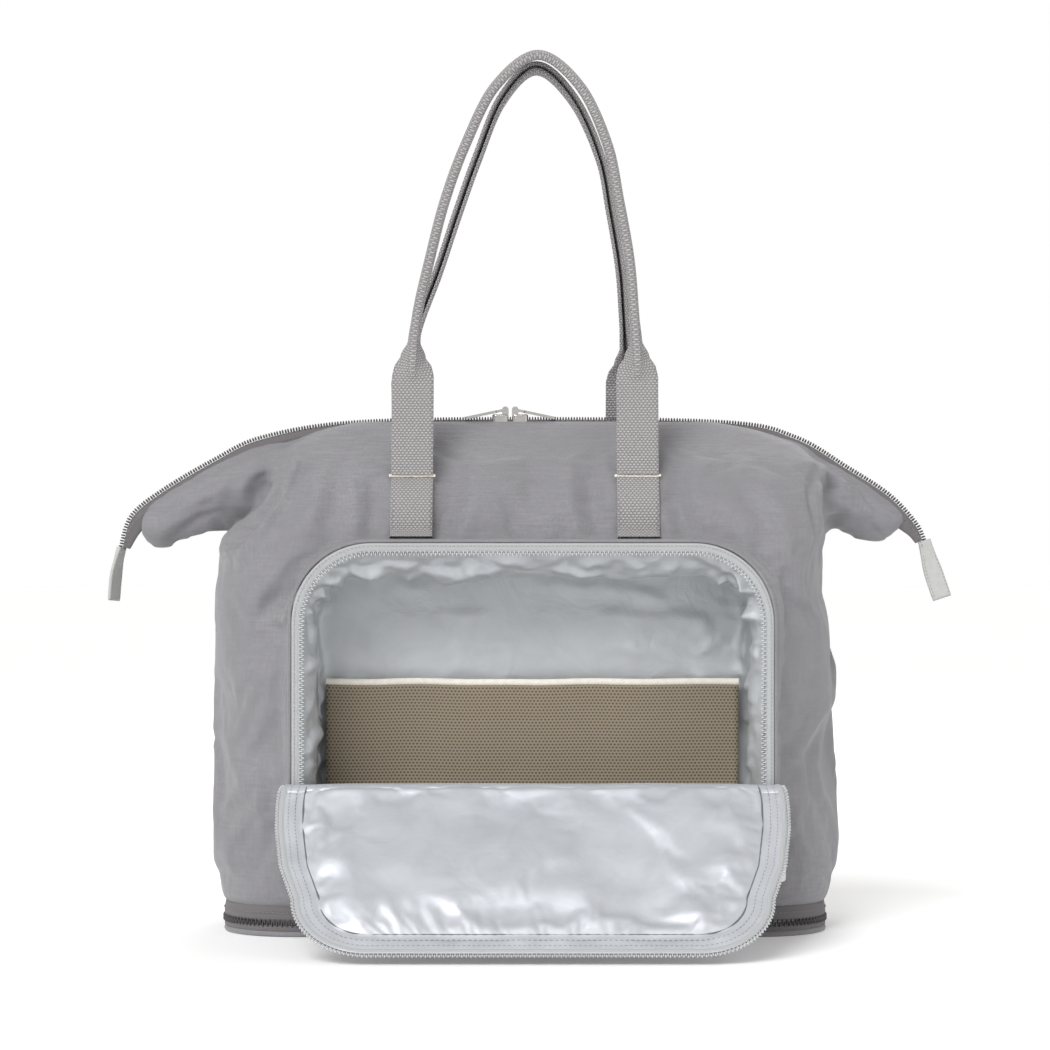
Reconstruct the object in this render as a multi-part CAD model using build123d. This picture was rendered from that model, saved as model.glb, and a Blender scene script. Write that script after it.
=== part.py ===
"""Insulated cooler bag: a zip-top canvas tote with a boxed cooler pocket on its front.

The pocket's padded flap is unzipped and folded down on its lip. Every solid stands in one frame, in
millimetres: +Z up, -Y is the front, and the origin is the centre of the base's underside.
"""
from build123d import *
import math
import os

# ---- driving dimensions ---------------------------------------------------------------------
BODY_WIDTH = 372.0            # side to side, over the panels
BODY_DEPTH = 166.0            # front to back, over the panels
CORNER = 50.0                 # plan radius of the body's upright corners
CLOTH = 2.0                   # waxed canvas
BASE_INSET = 4.0              # the zip band round the base stands in from the body
BAND_TOP = 15.0               # top of the zip band, where the panels start
RIDGE_HALF = 8.0              # half width of the flat top under the zip
RIDGE_Z = 303.2
# The roof's slope, from the middle out: half depth and height of the ridge, the knee and the shoulder.
ROOF = [(RIDGE_HALF, RIDGE_Z), (58.0, 272.0), (BODY_DEPTH / 2, 232.0)]
SIDE_TOP = 240.0              # top of the side panels' upright part

# The top zip's line, seen from the front: ear tip, ear, hip, flat top, hip, ear, ear tip.
RIDGE = [(-246, 229), (-212, 259), (-150, 298), (-105, 304), (105, 304), (150, 298), (205, 263), (243, 233)]
TAPE = 1.2                    # zip tape
TAPE_HALF = 9.0               # half width of the closed zip
COIL_HALF = 1.3               # half width of the top zip's coil
COIL_HEIGHT = 2.2

# Cooler pocket. Its centre line is a little to the right of the body's.
POCKET_X = 4.5
PANEL_FRONT = -BODY_DEPTH / 2
RIM_FRONT = PANEL_FRONT - 12.0
RIM_HALF, RIM_TOP, RIM_LOW = 145.5, 233.0, 42.0
MOUTH_HALF, MOUTH_TOP, MOUTH_LOW = 132.0, 226.0, 56.0
RIM_CORNER, MOUTH_CORNER, LOW_CORNER = 48.0, 38.0, 14.0
TAPE_OUTER_HALF, TAPE_OUTER_TOP = 141.0, 231.0
ZIP_LOW = 48.0                # the pocket zip's two lower ends
CAVITY_BACK = -25.0
FOAM = 5.0
LINING = 0.8
MESH_STAND_OFF = 8.0          # the mesh pocket stands this far off the cooler's back wall
MESH_TOP = 151.0

# Flap, drawn closed and then swung open about the lip's top edge.
HINGE_Y, HINGE_Z = RIM_FRONT - 3.2, 91.0
FLAP_SWING = 127.5            # from folded down, with its edge just off the floor, to closed
FLAP_START = 6.5              # the stiff panel starts this far above the fold
FLAP_HALF, FLAP_TOP, FLAP_CORNER = 138.0, 233.0, 46.0
FLAP_TAPE = 5.2               # width of the zip tape round the flap

# Webbing handles.
WEB_WIDTH, WEB = 25.0, 2.0
LEG_X = 67.0
TACK_Y, TACK_Z = 61.4, 272.0  # the bar tack, where a handle leaves the cloth
HANDLE_LEAN = 12.2            # the two handles lean together at the top
REAR_SHIFT = -4.0             # the rear handle stands a little to the left, and its arch is lower
REAR_ARCH = 0.965
GRIP_WIDTH, GRIP = 12.5, 6.0  # the webbing folded double
GRIP_START = 346.0
# Middle of the folded grip, seen from the front, before the handle leans: height is over GRIP_START.
GRIP_LINE = [(-67, 0), (-64.5, 26), (-57.5, 59), (-48.5, 96), (-36, 132), (-18, 169), (8, 189), (33.5, 169),
             (50, 132), (57, 96), (63, 59), (65.5, 26), (67, 0)]

# Sliders and pulls.
SLIDER_LENGTH, SLIDER_WIDTH, SLIDER_HEIGHT = 10.0, 9.0, 5.0
PIN_R, PIN_CLEARANCE = 0.8, 0.32
PIN_X, PIN_HEIGHT = 3.0, 8.2
EYE_R = 2.0                   # the pull's eye round the pin
PULL_LENGTH, PULL_WIDTH, PULL = 26.0, 8.0, 1.6
PULL_REST = 12.0              # degrees that a pull on top slopes down at rest
SLIDER_X = {"left": -15.0, "right": -3.0}
POCKET_SLIDER_Z = 58.0
POCKET_SLIDER_OUT = 143.2
BASE_SLIDER_X = 110.0

# Expanding base.
BASE_CLOTH = 3.0
BOARD = 2.6
GUSSET = 8.0


def upright_face(points, radii=()):
    """A face drawn in X and Z; radii pairs a corner's index with its fillet radius."""
    face = make_face(Polyline(*points, close=True))
    for index, radius in radii:
        x, z = points[index]
        corner = min(face.vertices(), key=lambda v: abs(v.X - x) + abs(v.Y - z))
        face = fillet(corner, radius)
    return face


def slab(face, back, front):
    """An upright face made solid between two planes across Y."""
    return extrude(Plane.XZ.offset(-back) * face, amount=back - front)


def window(half, low, high, top_corner, low_corner):
    """A pocket outline about POCKET_X with rounded top and lower corners."""
    left, right = POCKET_X - half, POCKET_X + half
    points = [(left, low), (right, low), (right, high), (left, high)]
    radii = [(2, top_corner), (3, top_corner)]
    if low_corner:
        radii += [(0, low_corner), (1, low_corner)]
    return upright_face(points, radii)


def block(x0, x1, y0, y1, z0, z1):
    """A box between two corners."""
    return Pos((x0 + x1) / 2, (y0 + y1) / 2, (z0 + z1) / 2) * Box(x1 - x0, y1 - y0, z1 - z0)


def body(grow):
    """The bag's outer form, grown by an amount; negative amounts give the inside of the cloth."""
    def grown(points):
        face = upright_face([(-x, z) for x, z in reversed(points)] + points)
        return offset(face, amount=grow, kind=Kind.INTERSECTION) if grow else face
    below = -60
    plan = RectangleRounded(BODY_WIDTH + 2 * grow, BODY_DEPTH + 2 * grow, CORNER + grow)
    side = grown(ROOF + [(BODY_DEPTH / 2, below)])
    hip = [(RIDGE[4][0], RIDGE_Z), (RIDGE[5][0], RIDGE_Z - 6)]
    front = grown(hip + [(BODY_WIDTH / 2, SIDE_TOP), (BODY_WIDTH / 2, below)])
    upright = extrude(Pos(0, 0, BAND_TOP) * plan, amount=320)
    return upright & extrude(Plane.YZ * side, amount=250, both=True) & slab(front, 150, -150)


def ring(outer, inner, z0, z1):
    """A band round the base between two insets from the zip band's outline."""
    def outline(inset):
        width, depth = BODY_WIDTH - 2 * BASE_INSET - 2 * inset, BODY_DEPTH - 2 * BASE_INSET - 2 * inset
        return RectangleRounded(width, depth, CORNER - BASE_INSET - inset)
    band = outline(outer) - outline(inner) if inner is not None else outline(outer)
    return extrude(Pos(0, 0, z0) * band, amount=z1 - z0)


# ---- body panels ----------------------------------------------------------------------------
def panels():
    shell = body(0) - body(-CLOTH)
    shell -= block(-148, 148, -1.5, 1.5, RIDGE_Z - 8, RIDGE_Z + 2)
    split = BODY_WIDTH / 2 - CORNER
    hole = slab(window(MOUTH_HALF, MOUTH_LOW - 6, MOUTH_TOP + 2, MOUTH_CORNER, LOW_CORNER), -60, -100)
    return {
        "front_panel": (shell & block(-split, split, -100, 0, 0, 320)) - hole,
        "rear_panel": shell & block(-split, split, 0, 100, 0, 320),
        "left_side_panel": (shell & block(-200, -split, -100, 100, 0, 320)) - hole,
        "right_side_panel": (shell & block(split, 200, -100, 100, 0, 320)) - hole,
        "main_lining": main_lining(),
    }


def main_lining():
    """Thin lining behind the panels, open where the cooler box and the zip are."""
    skin = body(-CLOTH - 0.2) - body(-CLOTH - 0.2 - 0.6)
    cooler = block(POCKET_X - MOUTH_HALF - 4, POCKET_X + MOUTH_HALF + 4, -100, -40, 44, 234)
    return skin - cooler - block(-148, 148, -4, 4, RIDGE_Z - 12, RIDGE_Z + 2)


def wedge(stations, wall):
    """A tapering form through four-cornered sections, drawn in by a wall thickness."""
    faces = []
    for x, top, top_half, low, low_half in stations:
        half_up, half_down = top_half - wall, low_half - wall
        corners = [(half_down, low + wall), (half_up, top - 0.4 - wall)]
        loop = [(x, -y, z) for y, z in corners] + [(x, y, z) for y, z in reversed(corners)]
        faces.append(make_face(Polyline(*loop, close=True)))
    return loft(faces, ruled=True)


def ears():
    """The folded ends of the top, drawn out along the zip to its two tips."""
    made = {}
    for side, name in ((-1, "left_ear"), (1, "right_ear")):
        line = RIDGE[:3] if side < 0 else RIDGE[:4:-1]
        (tip_x, tip_z), (mid_x, mid_z), (hip_x, hip_z) = line
        # Each station: x, top height, half width on top, bottom height, half width at the bottom.
        stations = [(hip_x, hip_z, 8, 242, 40), (mid_x, mid_z, 6, 233, 17), (tip_x, tip_z, 4, tip_z - 7, 4.5)]
        outer, inner = wedge(stations, 0), wedge(stations, CLOTH / 2)
        made[name] = outer - inner - body(0.2)
    return made


# ---- zips -----------------------------------------------------------------------------------
def ridge_band(low, high, y0, y1):
    """A band along the top zip's line, between two heights above it."""
    points = [(x, z + high) for x, z in RIDGE] + [(x, z + low) for x, z in reversed(RIDGE)]
    return slab(upright_face(points), y1, y0)


def main_zip():
    gap = COIL_HALF + 0.1
    return {
        "main_zip_front_tape": ridge_band(0, TAPE, -TAPE_HALF, -gap),
        "main_zip_rear_tape": ridge_band(0, TAPE, gap, TAPE_HALF),
        "main_zip_coil": ridge_band(0, COIL_HEIGHT, -COIL_HALF, COIL_HALF),
    }


def base():
    """Base cloth, stiffener, and the closed zip with the gusset that it lets out."""
    return {
        "base_panel": ring(0.3, None, 0, BASE_CLOTH),
        "base_board": ring(GUSSET + 3, None, BASE_CLOTH + 0.3, BASE_CLOTH + 0.3 + BOARD),
        "expansion_gusset": ring(2.2, GUSSET + 2.2, BASE_CLOTH + 0.2, BAND_TOP - 0.4),
        "base_zip_lower_tape": ring(0.6, 2.0, BASE_CLOTH + 0.2, 6.6),
        "base_zip_coil": ring(-0.6, 2.0, 6.8, 9.6),
        "base_zip_upper_tape": ring(0.6, 2.0, 9.8, BAND_TOP - 0.2),
    }


def slider():
    """A zip slider on tape at Z 0, running along X, with two lugs and the pin that its pull turns on."""
    made = Pos(0, 0, 0.3 + SLIDER_HEIGHT / 2) * Box(SLIDER_LENGTH, SLIDER_WIDTH, SLIDER_HEIGHT)
    made = fillet(made.edges().filter_by(Axis.Z), 2.4)
    made = fillet(made.edges().group_by(Axis.Z)[-1], 0.9)
    made -= Pos(0, 0, 1.2) * Box(SLIDER_LENGTH + 2, 4.0, 3.0)
    lug_height = PIN_HEIGHT - SLIDER_HEIGHT + 2.6
    for side in (-1, 1):
        lug = Pos(PIN_X, side * 2.9, PIN_HEIGHT + 1.5 - lug_height / 2) * Box(4.0, 1.6, lug_height)
        made += fillet(lug.edges().filter_by(Axis.Y).group_by(Axis.Z)[-1], 1.6)
    return made + pin_place() * Rot(90, 0, 0) * Cylinder(PIN_R, 6.4)


def pin_place():
    return Pos(PIN_X, 0, PIN_HEIGHT)


def pull():
    """A pull lying along -X from its pin, with an eye at the pin and a slot near its free end."""
    neck, neck_width = 6.0, 3.4
    made = Pos(-neck / 2, 0, 0) * Box(neck + 1.2, neck_width, PULL)
    made += Rot(90, 0, 0) * Cylinder(EYE_R, neck_width)
    blade = Pos(-neck - (PULL_LENGTH - neck) / 2 + 0.6, 0, 0) * Box(PULL_LENGTH - neck, PULL_WIDTH, PULL)
    made += fillet(blade.edges().filter_by(Axis.Z), 1.8)
    made -= Pos(-PULL_LENGTH + 5.4, 0, 0) * Box(5.4, 3.6, 3 * PULL)
    return made - Rot(90, 0, 0) * Cylinder(PIN_R + PIN_CLEARANCE, neck_width + 2)


def main_sliders():
    """Two sliders head to head on the flat top, with pulls that lie outwards."""
    made = {}
    ridge_z = RIDGE[3][1] + TAPE
    for name, turn in (("left", 0), ("right", 180)):
        at = Pos(SLIDER_X[name], 0, ridge_z) * Rot(0, 0, turn)
        made[f"main_slider_{name}"] = at * slider()
        made[f"main_pull_{name}"] = at * pin_place() * Rot(0, -PULL_REST, 0) * pull()
    return made


def pocket_slider_place():
    """On the right upright of the pocket zip: slider length along Z, its top facing the front."""
    origin = (POCKET_X + POCKET_SLIDER_OUT, RIM_FRONT - TAPE, POCKET_SLIDER_Z)
    return Location(Plane(origin=origin, x_dir=(0, 0, 1), z_dir=(0, -1, 0)))


def base_slider_place():
    """On the back of the zip band: slider length along X, its top facing the rear."""
    rear = BODY_DEPTH / 2 - BASE_INSET + 0.6
    return Location(Plane(origin=(BASE_SLIDER_X, rear, 8.2), x_dir=(1, 0, 0), z_dir=(0, 1, 0)))


def other_sliders():
    on_pocket, on_base = pocket_slider_place(), base_slider_place()
    return {
        "pocket_slider": on_pocket * slider(),
        "pocket_pull": on_pocket * pin_place() * pull(),
        "base_slider": on_base * slider(),
        "base_pull": on_base * pin_place() * Rot(0, -PULL_REST, 0) * pull(),
    }


def end_tabs():
    """A folded tab sewn over each end of the top zip, hanging from the ear's tip."""
    made = {}
    for name, (x, z), lean, turn in (("left_end_tab", RIDGE[0], 6.0, 70), ("right_end_tab", RIDGE[-1], -16.0, 25)):
        side = -1 if x < 0 else 1
        hinge = Pos(x + side * 2.4, 0, z - 7.4)
        blade = Pos(0, 0, -18) * Rot(0, 0, turn) * Box(17.0, 3.0, 34.0)
        made[name] = hinge * Rot(0, lean, 0) * blade
    return made


# ---- cooler pocket --------------------------------------------------------------------------
def pocket():
    """The rim round the mouth, its half of the zip, and the lip that the flap folds on."""
    rim = window(RIM_HALF, RIM_LOW, RIM_TOP, RIM_CORNER, LOW_CORNER + 10)
    mouth = window(MOUTH_HALF, MOUTH_LOW, MOUTH_TOP, MOUTH_CORNER, LOW_CORNER)
    tape_out = window(TAPE_OUTER_HALF, ZIP_LOW, TAPE_OUTER_TOP, RIM_CORNER - 4, 0)
    tape_in = window(MOUTH_HALF, ZIP_LOW - 10, MOUTH_TOP - 4, MOUTH_CORNER, 0)
    coil_out = window(MOUTH_HALF + 2.2, ZIP_LOW, MOUTH_TOP - 1.8, MOUTH_CORNER + 2, 0)
    lip = window(MOUTH_HALF - 0.6, RIM_LOW + 3, HINGE_Z - 1.0, 4, LOW_CORNER)
    tape_front = RIM_FRONT - TAPE
    return {
        "pocket_rim": slab(rim - mouth, PANEL_FRONT, RIM_FRONT),
        "pocket_zip_tape": slab(tape_out - tape_in, RIM_FRONT, tape_front),
        "pocket_zip_coil": slab(coil_out - tape_in, tape_front, tape_front - 1.2),
        "flap_lip": slab(lip, RIM_FRONT - 0.2, RIM_FRONT - 3.0),
    }


def cooler():
    """Foam walls, the silver lining inside them and the cloth that divides them from the bag."""
    left, right = POCKET_X - MOUTH_HALF, POCKET_X + MOUTH_HALF
    low, high = MOUTH_LOW - 6, MOUTH_TOP + 2
    front, back = PANEL_FRONT + CLOTH + 0.2, CAVITY_BACK
    inner = [left + FOAM, right - FOAM, low + FOAM, high - FOAM]
    foam_back = back + FOAM
    box = block(left + FOAM, right - FOAM, front, back, low + FOAM, high - FOAM)
    hollow = block(inner[0] + LINING, inner[1] - LINING, front - 1, back - LINING,
                   inner[2] + LINING, inner[3] - LINING)
    mesh_front = back - LINING - MESH_STAND_OFF
    mesh = block(inner[0] + 3, inner[1] - 3, mesh_front, mesh_front + 1.0, inner[2] + LINING, MESH_TOP - 6)
    binding = block(inner[0] + 3, inner[1] - 3, mesh_front - 0.8, mesh_front + 1.8, MESH_TOP - 6, MESH_TOP)
    return {
        "cooler_foam_back": block(left, right, back, foam_back, low, high),
        "cooler_foam_floor": block(left + FOAM, right - FOAM, front, back, low, low + FOAM),
        "cooler_foam_ceiling": block(left + FOAM, right - FOAM, front, back, high - FOAM, high),
        "cooler_foam_left": block(left, left + FOAM, front, back, low, high),
        "cooler_foam_right": block(right - FOAM, right, front, back, low, high),
        "cooler_lining": box - hollow,
        "cooler_divider": block(left - 0.6, right + 0.6, foam_back + 0.3, foam_back + 1.5, low - 0.6, high + 0.6),
        "mesh_pocket": mesh,
        "mesh_pocket_binding": binding,
    }


def flap_open(shape):
    """Swings a piece of the closed flap down to where it rests, about the fold."""
    return Pos(0, HINGE_Y, HINGE_Z) * Rot(FLAP_SWING, 0, 0) * Pos(0, -HINGE_Y, -HINGE_Z) * shape


def flap():
    """Lining, foam and canvas, with the flap's half of the zip round three sides."""
    low = HINGE_Z + FLAP_START
    full = window(FLAP_HALF, low, FLAP_TOP, FLAP_CORNER, 0)
    panel = window(FLAP_HALF - FLAP_TAPE, low, FLAP_TOP - FLAP_TAPE, FLAP_CORNER - FLAP_TAPE, 0)
    inside = window(FLAP_HALF - 2, low - 10, FLAP_TOP - 2, FLAP_CORNER - 2, 0)
    hole = window(FLAP_HALF - FLAP_TAPE, low - 10, FLAP_TOP - FLAP_TAPE, FLAP_CORNER - FLAP_TAPE, 0)
    layers = [0.0, LINING, LINING + FOAM - 0.6, LINING + FOAM + 0.6]
    planes = [HINGE_Y - depth for depth in layers]
    closed = {
        "flap_lining": slab(panel, planes[0], planes[1]),
        "flap_foam": slab(panel, planes[1], planes[2]),
        "flap_outer": slab(panel, planes[2], planes[3]),
        "flap_zip_tape": slab(full - hole, planes[0] - 0.2, planes[0] - 0.2 - TAPE),
        "flap_zip_coil": slab(full - inside, planes[0] - 0.2 - TAPE, planes[0] - 0.2 - TAPE - 1.4),
    }
    return {name: flap_open(shape) for name, shape in closed.items()}


# ---- handles --------------------------------------------------------------------------------
def handle(arch):
    """The front handle: two flat legs and a grip of webbing folded double, leaning back."""
    points = [(x, 0, GRIP_START + arch * rise) for x, rise in GRIP_LINE]
    path = Spline(*points, tangents=[(0, 0, 1), (0, 0, -1)])
    start = Plane(origin=points[0], x_dir=(1, 0, 0), z_dir=(0, 0, 1))
    made = sweep(start * Rectangle(GRIP, GRIP_WIDTH), path=path)
    half = WEB_WIDTH / 2
    for x in (-LEG_X, LEG_X):
        leg = [(x - half, TACK_Z + 1.5), (x + half, TACK_Z + 1.5), (x + half, GRIP_START - 12),
               (x + GRIP / 2, GRIP_START + 1), (x - GRIP / 2, GRIP_START + 1), (x - half, GRIP_START - 12)]
        made += slab(upright_face(leg), WEB / 2, -WEB / 2)
    return Pos(0, -TACK_Y, TACK_Z) * Rot(-HANDLE_LEAN, 0, 0) * Pos(0, 0, -TACK_Z) * made


def straps():
    """The sewn lengths of webbing on the panels, and the bar tacks across them."""
    band = body(0.2 + WEB) - body(0.2)
    stitch = body(0.8 + WEB) - body(0.3 + WEB)
    made, tacks = {}, []
    rows = (("front", -1, RIM_TOP + 1, 0.0), ("rear", 1, BAND_TOP + 2, REAR_SHIFT))
    for row, side, low, shift in rows:
        y0, y1 = sorted((side * 20.0, side * 110.0))
        for name, x in (("left", -LEG_X + shift), ("right", LEG_X + shift)):
            half = WEB_WIDTH / 2
            made[f"{row}_{name}_strap"] = band & block(x - half, x + half, y0, y1, low, TACK_Z - 0.3)
            tacks.append(stitch & block(x - half, x + half, y0, y1, TACK_Z - 4.0, TACK_Z - 1.5))
    made["bar_tacks"] = Compound(children=tacks)
    return made


def handles():
    rear = mirror(handle(REAR_ARCH), about=Plane.XZ)
    return {"front_handle": handle(1.0), "rear_handle": Pos(REAR_SHIFT, 0, 0) * rear}


def main():
    os.makedirs("parts", exist_ok=True)
    nodes = {}
    for make in (panels, ears, main_zip, base, main_sliders, other_sliders, end_tabs, pocket, cooler, flap,
                 straps, handles):
        nodes.update(make())
    for name, shape in nodes.items():
        export_step(shape, f"parts/{name}.step")
    print(len(nodes), "nodes")


main()
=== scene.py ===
"""Insulated cooler bag in waxed canvas, with its cooler pocket open. Metres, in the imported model's frame."""
import math
import random

import bpy
import numpy as np
from mathutils import Matrix, Vector, noise


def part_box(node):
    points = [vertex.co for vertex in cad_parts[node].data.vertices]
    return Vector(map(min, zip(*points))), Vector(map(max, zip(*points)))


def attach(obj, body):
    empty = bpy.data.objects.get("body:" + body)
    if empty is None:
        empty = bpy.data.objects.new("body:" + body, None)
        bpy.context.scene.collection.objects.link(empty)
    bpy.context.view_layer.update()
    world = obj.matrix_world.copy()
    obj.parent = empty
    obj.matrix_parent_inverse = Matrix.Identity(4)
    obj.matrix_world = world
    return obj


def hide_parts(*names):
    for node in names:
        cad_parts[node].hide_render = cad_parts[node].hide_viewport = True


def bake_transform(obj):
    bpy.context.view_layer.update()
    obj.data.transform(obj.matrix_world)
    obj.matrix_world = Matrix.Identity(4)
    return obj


MM = 0.001
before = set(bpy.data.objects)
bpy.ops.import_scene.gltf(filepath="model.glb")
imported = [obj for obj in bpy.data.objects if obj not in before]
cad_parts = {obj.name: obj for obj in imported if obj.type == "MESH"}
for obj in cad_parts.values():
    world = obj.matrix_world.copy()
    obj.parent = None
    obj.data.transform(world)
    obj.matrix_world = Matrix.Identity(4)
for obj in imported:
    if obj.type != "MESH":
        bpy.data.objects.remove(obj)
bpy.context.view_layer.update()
rng = random.Random(7)

# ---- places, from the frame -------------------------------------------------------------------
RIM_LOW, RIM_HIGH = (Vector(v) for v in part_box("pocket_rim"))
POCKET_X = (RIM_LOW.x + RIM_HIGH.x) / 2
FRONT_Y = RIM_LOW.y                      # front plane of the pocket rim
LINING_BACK_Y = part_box("cooler_lining")[1][1]


# ---- mesh helpers -----------------------------------------------------------------------------
def lerp(a, b, t):
    return a + (b - a) * t


def smooth(t):
    t = min(max(t, 0.0), 1.0)
    return t * t * (3 - 2 * t)


def curve_at(keys, t):
    """Catmull-Rom through evenly numbered keys; t runs from 0 to the last key's number."""
    last = len(keys) - 1
    t = min(max(t, 0.0), last)
    i = min(int(t), last - 1)
    f = t - i
    a, b, c, d = keys[max(i - 1, 0)], keys[i], keys[i + 1], keys[min(i + 2, last)]
    square = (a * 2 - b * 5 + c * 4 - d) * (0.5 * f * f)
    cube = (b * 3 - a - c * 3 + d) * (0.5 * f ** 3)
    return b + (c - a) * (0.5 * f) + square + cube


def table(keys, x, ease=smooth):
    """Reading of a list of (x, value) pairs, eased from each pair to the next."""
    if x <= keys[0][0]:
        return keys[0][1]
    for (x0, v0), (x1, v1) in zip(keys, keys[1:]):
        if x <= x1:
            return lerp(v0, v1, ease((x - x0) / (x1 - x0)))
    return keys[-1][1]


def straight_table(keys, x):
    """Straight-line reading of a list of (x, value) pairs."""
    return table(keys, x, lambda t: t)


def make_object(name, verts, faces, material, uvs=None, soft=True):
    mesh = bpy.data.meshes.new(name)
    mesh.from_pydata([tuple(v) for v in verts], [], faces)
    if uvs:
        layer = mesh.uv_layers.new(name="cloth")
        for loop in mesh.loops:
            layer.data[loop.index].uv = uvs[loop.vertex_index]
    if soft:
        mesh.polygons.foreach_set("use_smooth", [True] * len(mesh.polygons))
    mesh.materials.append(material)
    mesh.update()
    piece = bpy.data.objects.new(name, mesh)
    bpy.context.collection.objects.link(piece)
    return piece


def grid_faces(rows, columns, wrap=False):
    faces = []
    for r in range(rows - 1):
        for c in range(columns if wrap else columns - 1):
            d = (c + 1) % columns
            faces.append((r * columns + c, r * columns + d, (r + 1) * columns + d, (r + 1) * columns + c))
    return faces


def use_modifiers(piece):
    """Applies every modifier to the piece's mesh."""
    depsgraph = bpy.context.evaluated_depsgraph_get()
    mesh = bpy.data.meshes.new_from_object(piece.evaluated_get(depsgraph))
    piece.modifiers.clear()
    old, piece.data = piece.data, mesh
    bpy.data.meshes.remove(old)
    mesh.polygons.foreach_set("use_smooth", [True] * len(mesh.polygons))
    return piece


def ring_points(half_x, half_y, radius, count):
    """Points round a rounded rectangle, evenly spaced, from the middle of the left side by the front."""
    radius = min(radius, half_x * 0.99, half_y * 0.99)
    sx, sy, arc = half_x - radius, half_y - radius, math.pi * radius / 2
    total = 4 * (sx + sy + arc)
    made = []
    for k in range(count):
        d = total * k / count
        side = 1 if d < total / 2 else -1
        d = d if side > 0 else total - d
        if d < sy:
            x, y = -half_x, -d
        elif d < sy + arc:
            t = (d - sy) / radius
            x, y = -sx - radius * math.cos(t), -sy - radius * math.sin(t)
        elif d < sy + arc + 2 * sx:
            x, y = -sx + d - sy - arc, -half_y
        elif d < sy + 2 * arc + 2 * sx:
            t = (d - sy - arc - 2 * sx) / radius
            x, y = sx + radius * math.sin(t), -sy - radius * math.cos(t)
        else:
            x, y = half_x, -(total / 2 - d)
        made.append(Vector((x, y * side, 0)))
    return made


def closed_loft(name, rings, material):
    """A closed form through rings of equal count, with a fan over each end."""
    count = len(rings[0])
    verts = [p for ring in rings for p in ring]
    faces = grid_faces(len(rings), count, wrap=True)
    for index, order in ((0, -1), (len(rings) - 1, 1)):
        verts.append(sum(rings[index], Vector()) / count)
        hub = len(verts) - 1
        first = index * count
        for c in range(count):
            pair = (first + c, first + (c + 1) % count)
            faces.append((*pair[::order], hub))
    return make_object(name, verts, faces, material)


def sweep(name, path, section, material, up, sides=None):
    """Carries a closed outline, which may change on the way, along points; u is across and v is along."""
    verts, uvs = [], []
    length = 0.0
    for i, point in enumerate(path):
        ahead = path[min(i + 1, len(path) - 1)] - path[max(i - 1, 0)]
        tangent = ahead.normalized()
        normal = up(point) if callable(up) else up
        across = normal.cross(tangent).normalized()
        normal = tangent.cross(across).normalized()
        if i:
            length += (point - path[i - 1]).length
        outline = section(i / (len(path) - 1)) if callable(section) else section
        for j, (a, n) in enumerate(outline):
            verts.append(point + across * a + normal * n)
            uvs.append((a if sides is None else sides[j], length))
    return make_object(name, verts, grid_faces(len(path), len(outline), wrap=True), material, uvs)


def resample(points, step):
    """Points at even steps along a smooth curve through points."""
    dense = [curve_at(points, i / 24) for i in range(24 * (len(points) - 1) + 1)]
    return even(dense, step)


def even(points, step):
    """Points at even steps along straight runs."""
    lengths = [0.0]
    for a, b in zip(points, points[1:]):
        lengths.append(lengths[-1] + (b - a).length)
    count = max(2, round(lengths[-1] / step))
    made, j = [], 0
    for i in range(count + 1):
        d = lengths[-1] * i / count
        while j < len(points) - 2 and lengths[j + 1] < d:
            j += 1
        span = lengths[j + 1] - lengths[j] or 1.0
        made.append(points[j].lerp(points[j + 1], (d - lengths[j]) / span))
    return made


def flat_section(width, thick):
    """A flat band's outline, with its middle on the path's line and softly rounded edges."""
    half, h = width / 2, thick / 2
    c = h * 0.8
    return [(-half, -h + c), (-half + c, -h), (0, -h), (half - c, -h), (half, -h + c),
            (half, h - c), (half - c, h), (0, h), (-half + c, h), (-half, h - c)]


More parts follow.
